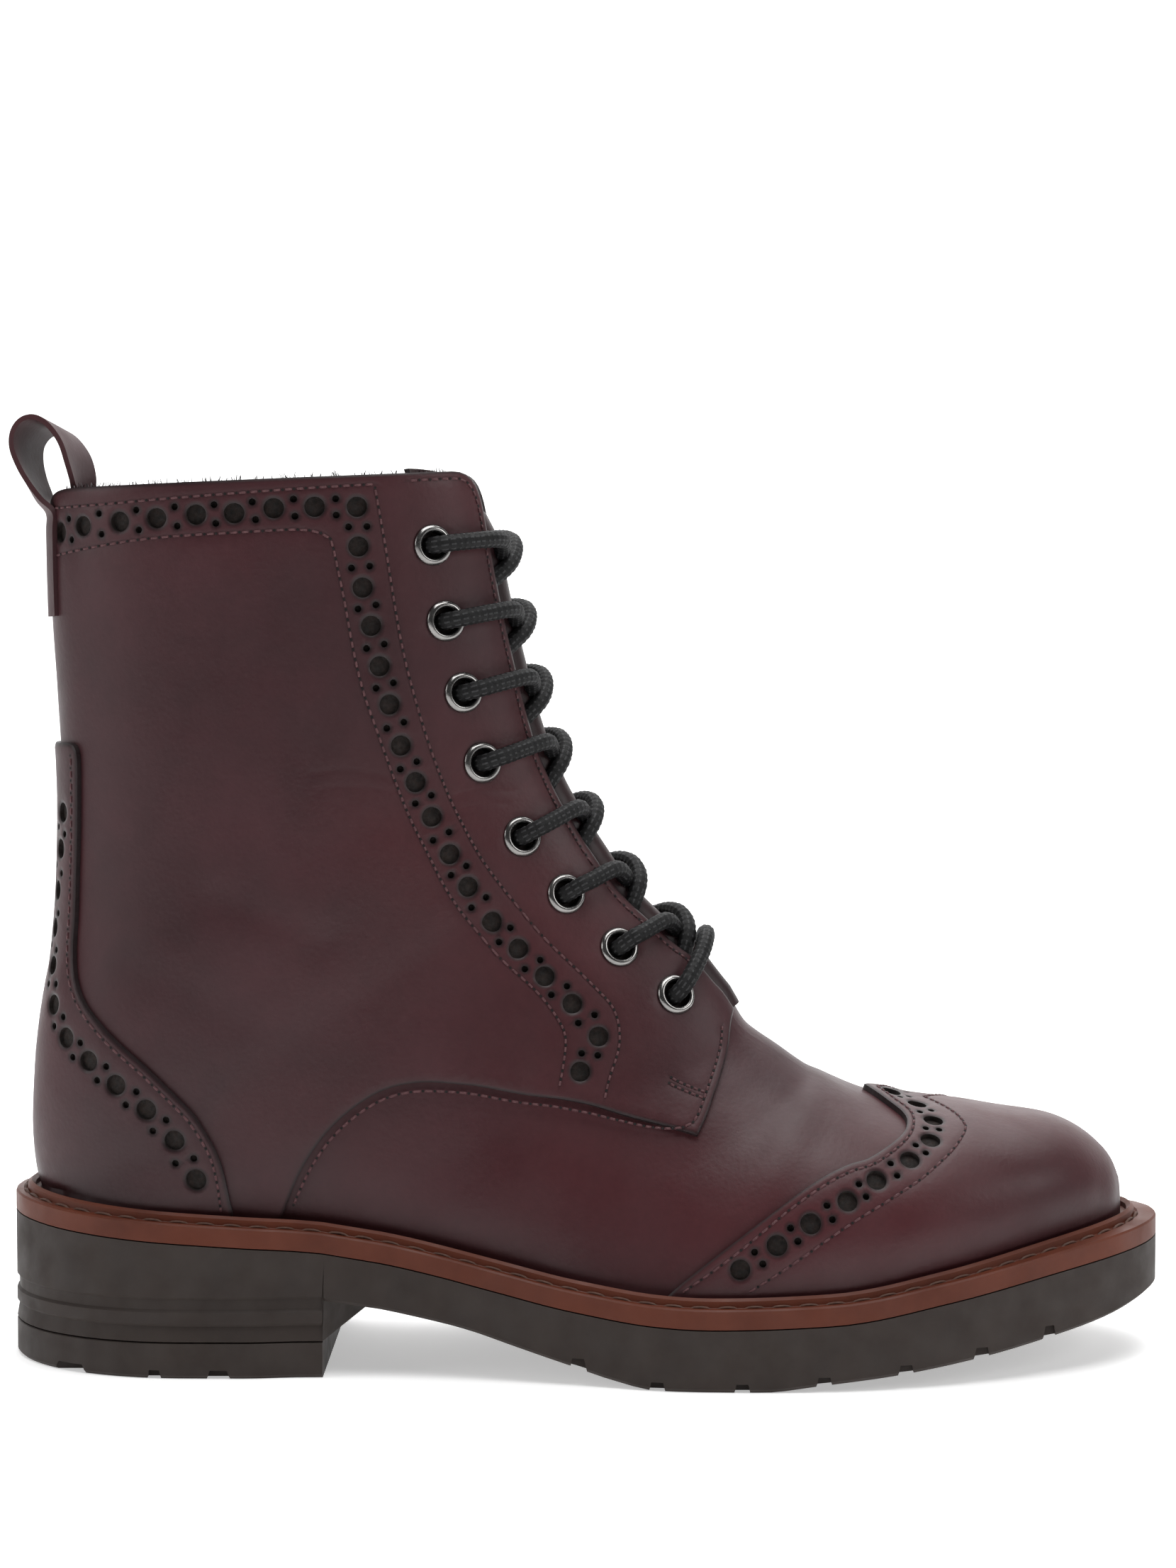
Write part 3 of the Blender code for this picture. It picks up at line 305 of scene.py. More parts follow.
@lru_cache(maxsize=None)
def lower_bend(row, ridge, foot, foot_x, half, widest, side):
    """Edge distance at the foot and the angle by which the lower half of a section turns in."""
    end = feather(foot_x, side) if row > HEEL_CORNER else 0.0
    end = min(end, half * 0.999)
    if end <= 1e-6:
        return 0.0, math.pi / 2
    run = math.hypot(foot[0] - ridge[0], foot[1] - ridge[1])
    inward = max((ridge[0] - foot[0]) / run * feather_slope(foot_x, side), 0.0)
    steep = (inward + 0.10) * (1 - widest) * run / max(half - end, 1e-6)
    low, high = 0.02, math.pi / 2
    for _ in range(40):
        mid = (low + high) / 2
        if math.tan(mid) * math.sin(mid) / (1 - math.cos(mid)) < steep:
            low = mid
        else:
            high = mid
    return end, low


@lru_cache(maxsize=None)
def half_width(row, side):
    _, _, foot_x, half, _, _ = section(row)
    if row > HEEL_CORNER:
        if side == INNER:
            half -= WAIST_CUT * max(feather(foot_x, OUTER) - feather(foot_x, INNER), 0.0)
        half = max(half, feather(foot_x, side) * 1.004 + 0.0002)
    if row >= TIP:
        half = 0.0
    return half


def form(row, v, side):
    """Point of the upper's outer face; v over 1 goes straight down from the feather."""
    if v > 1:
        return form(row, 1.0, side) - Vector((0, 0, (v - 1) * LAST_LENGTH))
    ridge, foot, foot_x, half, widest, full = section(row)
    half = half_width(row, side)
    if v <= 0.5:
        turn = math.pi * max(v, 0.0)
        share = widest * (1 - math.cos(turn) ** (2 / full))
        reach = half * math.sin(turn) ** (2 / full)
    else:
        end, bend = lower_bend(row, ridge, foot, foot_x, half, widest, side)
        turn = bend * (2 * v - 1)
        share = widest + (1 - widest) * math.sin(turn) / math.sin(bend)
        reach = half - (half - end) * (1 - math.cos(turn)) / (1 - math.cos(bend))
    middle = swing(min(max(foot_x, 0.0), 1.0)) * share + swing(
        eased(SECTION_ROWS, max(row, 0))[0]
    ) * (1 - share)
    return Vector(
        (
            ridge[0] + (foot[0] - ridge[0]) * share,
            middle + side * reach,
            ridge[1] + (foot[1] - ridge[1]) * share,
        )
    )


def normal(row, v, side):
    """Outward direction of the upper's outer face, level along the feather."""
    row = min(row, TIP - 0.35)
    low, high = max(row - 0.05, TONGUE_TOP), min(row + 0.05, TIP - 0.3)
    left, right = min(max(v - 0.01, 0.0), 0.97), max(min(v + 0.01, 0.999), 0.02)
    down = form(high, v, side) - form(low, v, side)
    across = form(row, right, side) - form(row, left, side)
    out = down.cross(across) * side
    if row > HEEL_CORNER - 1:
        out.z *= 1 - min(row - HEEL_CORNER + 1, 1.0) * min(max(v - 0.75, 0.0) / 0.24, 1.0)
    return out.normalized()


def throat_edge(row, gap=THROAT_GAP):
    """v of the throat's edge, where the facings end half the gap from the middle."""
    half = max(half_width(row, OUTER), gap)
    full = section(row)[5]
    return math.asin(min(gap / 2 / half, 1.0) ** (full / 2)) / math.pi


def add_mesh(name, verts, faces, material=None):
    mesh = bpy.data.meshes.new(name)
    mesh.from_pydata([tuple(v) for v in verts], [], faces)
    mesh.validate()
    obj = bpy.data.objects.new(name, mesh)
    bpy.context.scene.collection.objects.link(obj)
    if material:
        mesh.materials.append(material)
    return obj


def cut(target, cutter, operation="DIFFERENCE"):
    """Applies a Boolean and leaves the cutter out of the part."""
    modifier = target.modifiers.new("cut", "BOOLEAN")
    modifier.object = cutter
    modifier.operation = operation
    modifier.solver = "EXACT"
    cutter.hide_render = True
    cutter.display_type = "WIRE"
    graph = bpy.context.evaluated_depsgraph_get()
    made = bpy.data.meshes.new_from_object(target.evaluated_get(graph))
    target.modifiers.clear()
    old = target.data
    target.data = made
    bpy.data.meshes.remove(old)
    bpy.data.objects.remove(cutter)
    tidy = bmesh.new()
    tidy.from_mesh(made)
    bmesh.ops.remove_doubles(tidy, verts=tidy.verts, dist=2e-6)
    bmesh.ops.triangulate(tidy, faces=[f for f in tidy.faces if len(f.verts) > 4])
    tidy.to_mesh(made)
    tidy.free()


def gap_at(row):
    return THROAT_GAP * (1 - 0.30 * min(max(row, 0), THROAT_END) / THROAT_END)


def upper_edge(row):
    return throat_edge(row, gap_at(row))


def closed_mesh(name, points, faces, material):
    """Mesh from points that may repeat, with the faces turned outward."""
    index, verts, clean = {}, [], []

    def place(point):
        key = tuple(round(c * 1e7) for c in point)
        if key not in index:
            index[key] = len(verts)
            verts.append(point)
        return index[key]

    ids = [place(p) for p in points]
    for face in faces:
        ring = []
        for k in face:
            if ids[k] not in ring:
                ring.append(ids[k])
        if len(ring) > 2:
            clean.append(ring)
    obj = add_mesh(name, verts, clean, material)
    shape = bmesh.new()
    shape.from_mesh(obj.data)
    bmesh.ops.recalc_face_normals(shape, faces=shape.faces)
    shape.to_mesh(obj.data)
    shape.free()
    return obj


def share_of(x):
    return (x - LAST_BACK) / LAST_LENGTH


def reach_at(share):
    """Distance from the feather to the sole's edge."""
    layers, toe = eased(WELT_PATH, share)
    return SOLE_REACH + STACK * layers + TOE_REACH * toe


def edge_point(share, side, distance):
    """Plan place at a distance outside the feather, on one side."""
    share = min(max(share, 0.0), 1.0)
    if share in (0.0, 1.0):
        return along(share) + (distance if share else -distance), swing(share)
    slope = feather_slope(share, side)
    size = math.hypot(slope, 1)
    x = along(share) - distance * slope / size
    return x, swing(share) + side * (feather(share, side) + distance / size)

BREAST_X = LAST_BACK - SOLE_REACH - 2 * STACK + HEEL_LENGTH
BREAST = share_of(BREAST_X)


def loops(stations, rings):
    """Points of each ring on both sides; a ring gives (distance, height) at a share and side."""
    made = []
    for ring in rings:
        sides = []
        for side in (OUTER, INNER):
            line = []
            for share in stations:
                distance, height = ring(share, side)
                x, y = edge_point(share, side, distance)
                line.append((x, y, height(share_of(x) if distance < 0 else share)))
            sides.append(line)
        made.append(sides)
    return made


def ring_solid(name, made, material, middles=(None, None), hollow=False):
    """Solid through rings from the top to the bottom, capped across, or a closed hollow ring."""
    points, faces, at = [], [], {}
    for r, sides in enumerate(made):
        for side in (0, 1):
            for k, point in enumerate(sides[side]):
                at[(r, side, k)] = len(points)
                points.append(point)
    count, last = len(made[0][0]), len(made) - 1
    pairs = [(r, r + 1) for r in range(last)]
    if hollow:
        pairs.append((last, 0))
    for r, n in pairs:
        for side in (0, 1):
            for k in range(count - 1):
                faces.append(
                    [at[(r, side, k)], at[(r, side, k + 1)], at[(n, side, k + 1)], at[(n, side, k)]]
                )
        if not hollow:
            for k in (0, count - 1):
                faces.append([at[(r, 0, k)], at[(r, 1, k)], at[(n, 1, k)], at[(n, 0, k)]])
    if not hollow:
        for r, middle in ((0, middles[0]), (last, middles[1])):
            centre = []
            for k in range(count):
                a, b = made[r][0][k], made[r][1][k]
                point = tuple((p + q) / 2 for p, q in zip(a, b))
                if middle:
                    point = middle(k, point)
                centre.append(len(points))
                points.append(point)
            for side in (0, 1):
                for k in range(count - 1):
                    faces.append([at[(r, side, k)], at[(r, side, k + 1)], centre[k + 1], centre[k]])
            for k in (0, count - 1):
                faces.append([at[(r, 0, k)], centre[k], at[(r, 1, k)]])
    return closed_mesh(name, points, faces, material)


def heel_zone(share):
    return share <= BREAST + 0.0005


def build_sole(material):
    plateau = WELT_LAP + CLEARANCE

    def inset(amount):
        return lambda share, side: (
            -plateau - amount, lambda s: sole_top(s) + FEATHER_RISE - CLEARANCE
        )

    rings = [
        inset(0.0),
        lambda share, side: (-plateau, sole_top),
        lambda share, side: (reach_at(share), sole_top),
    ]
    levels = []
    for k, height in enumerate(RIB_HEIGHTS[::-1]):
        above, below = ((0.0, RIB_DEPTH), (RIB_DEPTH, 0.0))[k % 2]
        levels += [(height + RIB_DEPTH / 2, above), (height - RIB_DEPTH / 2, below)]
    floor = LIFT_HEIGHT + CLEARANCE
    for k, (height, depth) in enumerate(levels):
        part = (k + 1) / (len(levels) + 1)

        def ring(share, side, height=height, depth=depth, part=part):
            if heel_zone(share):
                return reach_at(share) - depth, lambda s: height
            return reach_at(share), lambda s: sole_top(s) + (
                sole_bottom(s) + EDGE_ROUND - sole_top(s)
            ) * part

        rings.append(ring)

    def low_edge(share, side):
        if heel_zone(share):
            return reach_at(share), lambda s: floor + EDGE_ROUND / 4
        return reach_at(share), lambda s: sole_bottom(s) + EDGE_ROUND

    def low_face(share, side):
        if heel_zone(share):
            return reach_at(share) - EDGE_ROUND / 4, lambda s: floor
        return reach_at(share) - EDGE_ROUND, sole_bottom

    made = loops(STATIONS, [*rings, low_edge, low_face])
    turn = STATIONS.index(BREAST) + 1
    rake = BREAST_RAKE

    def raked(point):
        return point[0] + rake, point[1], sole_bottom(share_of(point[0] + rake))

    for ring in made[-2:]:
        x, y, z = raked(ring[1][turn])
        ring[1][turn] = (x, y, z + (EDGE_ROUND if ring is made[-2] else 0.0))

    def middle(k, point):
        return raked(point) if k == turn else point

    sole = ring_solid("outsole", made, material, (None, middle))
    cut(sole, notch_cutter(FORE_NOTCHES, sole_bottom))
    return sole


def build_lift(material):
    stations = [s for s in STATIONS if s <= BREAST]
    tops = [
        (EDGE_ROUND / 4, LIFT_HEIGHT),
        (0.0, LIFT_HEIGHT - EDGE_ROUND / 4),
        (0.0, EDGE_ROUND),
        (EDGE_ROUND, 0.0),
    ]
    rings = [
        lambda share, side, depth=depth, height=height: (reach_at(share) - depth, lambda s: height)
        for depth, height in tops
    ]
    lift = ring_solid("heel_lift", loops(stations, rings), material)
    cut(lift, notch_cutter(HEEL_NOTCHES, lambda s: 0.0))
    return lift

# Notches in the lower edge of the sole: place along and width as a share of NOTCH_WIDTH.
HEEL_NOTCHES = ((0.047, 2.2), (0.112, 0.9), (0.166, 1.5))
FORE_NOTCHES = (
    (0.499, 1.0), (0.570, 1.0), (0.641, 1.0), (0.712, 1.0), (0.781, 1.0), (0.846, 1.0),
    (0.905, 0.8),
)


def notch_cutter(notches, floor):
    """Wedges that cut the notches from both sides, as one mesh of separate solids."""
    verts, faces = [], []
    for share, width in notches:
        for side in (OUTER, INNER):
            x, y = edge_point(share, side, reach_at(share))
            base = floor(share_of(x))
            half = NOTCH_WIDTH * width / 2
            start = len(verts)
            for reach in (2 * NOTCH_REACH, -NOTCH_REACH):
                for dx, dz in (
                    (-half * 1.25, -NOTCH_HEIGHT),
                    (half * 1.25, -NOTCH_HEIGHT),
                    (half * 0.75, NOTCH_HEIGHT),
                    (-half * 0.75, NOTCH_HEIGHT),
                ):
                    verts.append((x + dx, y + side * reach, base + dz))
            for a, b, c, d in (
                (0, 1, 2, 3), (7, 6, 5, 4), (0, 4, 5, 1), (1, 5, 6, 2), (2, 6, 7, 3), (3, 7, 4, 0)
            ):
                faces.append([start + a, start + b, start + c, start + d])
    return closed_mesh("notch_cutter", verts, faces, None)


def build_welt(material):
    top = WELT_THICKNESS
    low = CLEARANCE

    def bead(share):
        return STACK * eased(WELT_PATH, share)[0] + BEAD_GAP

    profile = [
        (lambda s: -WELT_LAP, low),
        (lambda s: reach_at(s), low),
        (lambda s: reach_at(s), low + top - EDGE_ROUND / 2),
        (lambda s: reach_at(s) - EDGE_ROUND / 2, low + top),
        (lambda s: bead(s) + BEAD_WIDTH * 1.4, low + top),
        (lambda s: bead(s) + BEAD_WIDTH * 1.2, low + top - EDGE_ROUND / 2),
        (lambda s: bead(s) + BEAD_WIDTH, low + top),
        (lambda s: bead(s) + BEAD_WIDTH * 0.85, low + top + BEAD_HEIGHT * 0.7),
        (lambda s: bead(s) + BEAD_WIDTH * 0.45, low + top + BEAD_HEIGHT),
        (lambda s: bead(s), low + top + BEAD_HEIGHT * 0.6),
        (lambda s: bead(s), low + top),
        (lambda s: -WELT_LAP, low + top),
    ]
    rings = [
        lambda share, side, far=far, rise=rise: (
            far(share), lambda s: sole_top(s) + rise
        ) for far, rise in profile
    ]
    stations = [s for s in STATIONS if s != BREAST + 0.0015]
    return ring_solid("welt", loops(stations, rings), material, hollow=True)


def build_insole(material):
    wall = WALL + 4 * CLEARANCE
    rings = [
        lambda share, side: (-wall, lambda s: feather_height(s) + INSOLE_THICKNESS),
        lambda share, side: (-wall, feather_height),
    ]
    stations = [s for s in STATIONS if s != BREAST + 0.0015]
    return ring_solid("insole", loops(stations, rings), material)


def at_width(row, y):
    """v at a distance from the ridge's middle line."""
    half = half_width(row, OUTER)
    return math.asin(min(abs(y) / half, 1.0) ** (section(row)[5] / 2)) / math.pi


def over(row, y, height):
    """Point at a height over the form, y from the middle line near the ridge."""
    side = OUTER if y < 0 else INNER
    v = at_width(row, y)
    return form(row, v, side) + normal(row, v, side) * height


def lathe(profile, centre, axis, turns):
    """Points and faces of a profile of (radius, height) turned about an axis."""
    frame = Matrix.Translation(centre) @ axis.to_track_quat("Z", "X").to_matrix().to_4x4()
    points, faces = [], []
    for k in range(turns):
        angle = 2 * math.pi * k / turns
        for radius, height in profile:
            points.append(
                frame @ Vector((radius * math.cos(angle), radius * math.sin(angle), height))
            )
    size = len(profile)
    for k in range(turns):
        n = (k + 1) % turns
        for j in range(size):
            m = (j + 1) % size
            faces.append([k * size + j, n * size + j, n * size + m, k * size + m])
    return points, faces


def sheet(name, grid, thickness, material):
    """Closed sheet of a thickness about a grid of points."""
    rows, columns = len(grid), len(grid[0])
    points = np.array([[tuple(p) for p in line] for line in grid])
    down = np.gradient(points, axis=0)
    across = np.gradient(points, axis=1)
    out = np.cross(down, across)
    out /= np.linalg.norm(out, axis=2, keepdims=True)
    verts = np.concatenate(
        [
            (points + out * thickness / 2).reshape(-1, 3),
            (points - out * thickness / 2).reshape(-1, 3),
        ]
    )
    size = rows * columns
    faces = []
    for i in range(rows - 1):
        for j in range(columns - 1):
            a, b = i * columns + j, (i + 1) * columns + j
            faces.append([a, b, b + 1, a + 1])
            faces.append([size + a, size + a + 1, size + b + 1, size + b])
    rim = [(0, j) for j in range(columns)] + [(i, columns - 1) for i in range(1, rows)]
    rim += [(rows - 1, j) for j in range(columns - 2, -1, -1)] + [
        (i, 0) for i in range(rows - 2, 0, -1)
    ]
    for (i, j), (m, n) in zip(rim, rim[1:] + rim[:1]):
        a, b = i * columns + j, m * columns + n
        faces.append([a, b, b + size, a + size])
    return closed_mesh(name, [tuple(v) for v in verts], faces, material)


def line_of(start, stop, step):
    return list(np.arange(start, stop, step))


STATIONS = tuple(
    [0.0, 0.0012, 0.003, 0.006, 0.010, 0.015, 0.022, 0.030, 0.039, 0.048, 0.060, 0.072, 0.085, 0.10]
    + line_of(0.115, BREAST - 0.006, 0.015)
    + [BREAST, BREAST + 0.0015]
    + line_of(0.315, 0.90, 0.013)
    + [
        0.905, 0.915, 0.925, 0.935, 0.945, 0.954, 0.963, 0.971, 0.978, 0.984, 0.989, 0.993, 0.996,
        0.998, 0.9992, 1.0,
    ]
)

# The photograph's camera, and the way back from its pixels to the form.
EYE = np.array([0.1005, -0.870, 0.195])
PITCH = math.radians(3.88)
FOCAL = 5139.0
MIDDLE = (829.5, 1106.0)
AHEAD = np.array([0.0, math.cos(PITCH), -math.sin(PITCH)])
UP = np.array([0.0, math.sin(PITCH), math.cos(PITCH)])

ROW_STEP = 0.1
V_STEP = 0.0125
ROW_LINE = np.round(np.arange(-3, round(TIP / ROW_STEP) + 1) * ROW_STEP, 3)
V_LINE = np.round(np.arange(0, 81) * V_STEP, 4)


def tabulate(rule, side):
    return np.array([[tuple(rule(float(r), float(v), side)) for v in V_LINE] for r in ROW_LINE])


POINTS = {side: tabulate(form, side) for side in (OUTER, INNER)}
TURNS = {side: tabulate(normal, side) for side in (OUTER, INNER)}


# Where the form's sections change from the back seam to the feather, in rows, and how many rows
# on each side are smoothed and get new normals.
HEEL_LINE = HEEL_CORNER + 0.2
SMOOTH_ROWS = 1.8
NORMAL_ROWS = 2.6
SMOOTH_PASSES = 60


def soften_heel(side):
    """Rounds the line on the form where its sections change from the back seam to the feather."""
    at = POINTS[side]
    near = np.clip(1 - np.abs(ROW_LINE - HEEL_LINE) / SMOOTH_ROWS, 0, 1)
    near = (near * near * (3 - 2 * near))[:, None]
    up = np.clip((V_LINE - 0.45) / 0.15, 0, 1) * np.clip((1 - V_LINE) / 0.03, 0, 1)
    share = (near * up)[:, :, None] * 0.5
    for _ in range(SMOOTH_PASSES):
        mean = at.copy()
        mean[1:-1] = (at[:-2] + at[2:]) / 2
        at = at + (mean - at) * share
    down, across = np.gradient(at, axis=0), np.gradient(at, axis=1)
    out = np.cross(down, across) * side
    out /= np.maximum(np.linalg.norm(out, axis=2, keepdims=True), 1e-12)
    wide = np.clip(1 - np.abs(ROW_LINE - HEEL_LINE) / NORMAL_ROWS, 0, 1)[:, None]
    wide = wide * np.clip((V_LINE - 0.35) / 0.1, 0, 1)
    wide = (wide * np.clip((1 - V_LINE) / 0.04, 0, 1) > 0.2)[:, :, None]
    POINTS[side] = at
    TURNS[side] = np.where(wide, out, TURNS[side])


for side in (OUTER, INNER):
    soften_heel(side)

GIRTH = np.concatenate(
    [
        np.zeros((len(ROW_LINE), 1)),
        np.cumsum(np.linalg.norm(np.diff(POINTS[OUTER], axis=1), axis=2), axis=1),
    ],
    axis=1,
)
middle_line = POINTS[OUTER][:, 40]
REACH = np.concatenate(
    [[0.0], np.cumsum(np.linalg.norm(np.diff(middle_line, axis=0), axis=1) + 1e-5)]
)


def grid_at(table, row, v):
    r = np.clip((row - ROW_LINE[0]) / ROW_STEP, 0, len(ROW_LINE) - 1.0001)
    c = np.clip(v / V_STEP, 0, len(V_LINE) - 1.0001)
    i, j = r.astype(int), c.astype(int)
    a, b = r - i, c - j
    if table.ndim == 3:
        a, b = a[:, None], b[:, None]
    low = table[i, j] * (1 - b) + table[i, j + 1] * b
    high = table[i + 1, j] * (1 - b) + table[i + 1, j + 1] * b
    return low * (1 - a) + high * a


def place(row, v, side, height):
    row, v = np.atleast_1d(np.asarray(row, float)), np.atleast_1d(np.asarray(v, float))
    height = np.broadcast_to(np.asarray(height, float), row.shape)
    at = grid_at(POINTS[side], row, v) + facing(row, v, side) * height[:, None]
    at[:, 2] -= np.maximum(v - 1, 0) * LAST_LENGTH
    return at


def facing(row, v, side):
    out = grid_at(TURNS[side], np.atleast_1d(row), np.atleast_1d(v))
    return out / np.linalg.norm(out, axis=1, keepdims=True)


def to_plane(places):
    """Flat picture of the form: length along the boot and girth down from the ridge."""
    places = np.asarray(places, float)
    row, v = places[:, 0], places[:, 1]
    down = grid_at(GIRTH, row, v) + np.maximum(v - 1, 0) * LAST_LENGTH
    return np.stack([np.interp(row, ROW_LINE, REACH), down], axis=1)


def from_plane(flat):
    flat = np.asarray(flat, float)
    row = np.interp(flat[:, 0], REACH, ROW_LINE)
    r = np.clip((row - ROW_LINE[0]) / ROW_STEP, 0, len(ROW_LINE) - 1.0001)
    i = r.astype(int)
    a = (r - i)[:, None]
    lines = GIRTH[i] * (1 - a) + GIRTH[i + 1] * a
    j = np.clip((lines <= flat[:, 1:2]).sum(axis=1) - 1, 0, len(V_LINE) - 2)
    here, ahead = lines[np.arange(len(j)), j], lines[np.arange(len(j)), j + 1]
    share = (flat[:, 1] - here) / np.maximum(ahead - here, 1e-9)
    over_end = np.maximum(flat[:, 1] - lines[:, -1], 0) / LAST_LENGTH
    return row, (j + np.clip(share, 0, 1)) * V_STEP + over_end


def look(points):
    away = points - EYE
    depth = away @ AHEAD
    return np.stack(
        [MIDDLE[0] + FOCAL * away[:, 0] / depth, MIDDLE[1] - FOCAL * (away @ UP) / depth], axis=1
    )


def locate(pixels, height=STACK):
    """Places (row, v) on the outer side that the camera sees at pixels of the photograph."""
    want = np.asarray(pixels, float)
    rows, vs = (g.ravel() for g in np.meshgrid(ROW_LINE[3::3], V_LINE[::2], indexing="ij"))
    spots = place(rows, vs, OUTER, height)
    seen = np.einsum("ij,ij->i", facing(rows, vs, OUTER), EYE - spots) > 0
    rows, vs, spots = rows[seen], vs[seen], look(spots[seen])
    best = [int(np.argmin(((spots - w) ** 2).sum(axis=1))) for w in want]
    row, v = rows[best], vs[best]
    for _ in range(8):
        here = look(place(row, v, OUTER, height))
        by_row = (look(place(row + 0.02, v, OUTER, height)) - here) / 0.02
        by_v = (look(place(row, v - 0.002, OUTER, height)) - here) / -0.002
        miss = want - here
        a, b, d = (by_row**2).sum(axis=1) + 1, (
            by_row * by_v
        ).sum(axis=1), (by_v**2).sum(axis=1) + 400
        p, q = (by_row * miss).sum(axis=1), (by_v * miss).sum(axis=1)
        size = a * d - b * b
        row = np.clip(row + np.clip((p * d - q * b) / size, -0.5, 0.5), 0, TIP)
        v = np.clip(v + np.clip((q * a - p * b) / size, -0.06, 0.06), 0, 1)
    return np.stack([row, v], axis=1)


def resample(path, step):
    """Points at even steps along a polyline, its ends kept."""
    path = np.asarray(path, float)
    run = np.concatenate([[0], np.cumsum(np.linalg.norm(np.diff(path, axis=0), axis=1))])
    count = max(int(round(run[-1] / step)), 1)
    at = np.linspace(0, run[-1], count + 1)
    return np.stack([np.interp(at, run, path[:, k]) for k in range(path.shape[1])], axis=1)


def rounded(path, turns=2):
    """Corner cutting that keeps the ends, for a smooth line through measured points."""
    path = np.asarray(path, float)
    for _ in range(turns):
        low = path[:-1] * 0.75 + path[1:] * 0.25
        high = path[:-1] * 0.25 + path[1:] * 0.75
        inner = np.stack([low, high], axis=1).reshape(-1, path.shape[1])
        path = np.vstack([path[:1], inner[1:-1], path[-1:]])
    return path


def beside(path, offset):
    path = np.asarray(path, float)
    run = np.gradient(path, axis=0)
    run /= np.maximum(np.linalg.norm(run, axis=1, keepdims=True), 1e-12)
    return path + np.stack([-run[:, 1], run[:, 0]], axis=1) * offset


def from_lines(points, lines):
    """Distance of each point from the nearest of the polylines."""
    best = np.full(len(points), 1.0)
    for line in lines:
        a, b = line[:-1], line[1:]
        run = b - a
        size = np.maximum((run**2).sum(axis=1), 1e-18)
        for k in range(0, len(points), 4000):
            p = points[k : k + 4000, None]
            t = np.clip(((p - a) * run).sum(axis=2) / size, 0, 1)
            away = p - (a + run * t[:, :, None])
            best[k : k + 4000] = np.minimum(
                best[k : k + 4000], np.sqrt((away**2).sum(axis=2)).min(axis=1)
            )
    return best


def inside(points, ring):
    x, y = points[:, 0], points[:, 1]
    within = np.zeros(len(points), bool)
    for (ax, ay), (bx, by) in zip(ring, np.roll(ring, -1, axis=0)):
        crosses = (ay > y) != (by > y)
        if not crosses.any():
            continue
        at = ax + (y - ay) * (bx - ax) / (by - ay if by != ay else 1e-12)
        within ^= crosses & (x < at)
    return within


def stretch(centre):
    """How a small step on the flat pattern grows in the round, as a 2 x 2 matrix."""
    step = 0.0012
    flat = np.array(
        [centre, centre + (step, 0), centre - (step, 0), centre + (0, step), centre - (0, step)]
    )
    at = place(*from_plane(flat), OUTER, 0.0)
    along_u, along_w = (at[1] - at[2]) / (2 * step), (at[3] - at[4]) / (2 * step)
    first = along_w / np.linalg.norm(along_w)
    second = along_u - first * along_u.dot(first)
    second /= max(np.linalg.norm(second), 1e-9)
    return np.array([[along_u.dot(second), 0.0], [along_u.dot(first), along_w.dot(first)]])


def circle(hole, grow, count):
    centre, radius, grid = hole
    turn = np.linspace(0, 2 * math.pi, count, endpoint=False)
    ring = (radius + grow) * np.stack([np.cos(turn), np.sin(turn)], axis=1)
    return np.asarray(centre) + ring @ np.linalg.inv(grid).T


def hole_gap(points, hole):
    centre, radius, grid = hole
    return np.linalg.norm((points - centre) @ grid.T, axis=1) - radius


# Finest steps of a pattern in metres, along its cut edges and its stitch lines.
EDGE_STEP = 0.0011
GROOVE_STEP = 0.0013
# Holes from this radius up are the big ones.
BIG_FROM = 0.0015
# How deep the leather dips at edges, holes and stitch lines, and how far that reaches.
EDGE_DIP, EDGE_REACH = 0.00038, 0.0010
BIG_DIP, SMALL_DIP, HOLE_REACH = 0.00030, 0.00015, 0.0009
GROOVE_DIP, GROOVE_REACH = 0.00014, 0.00055


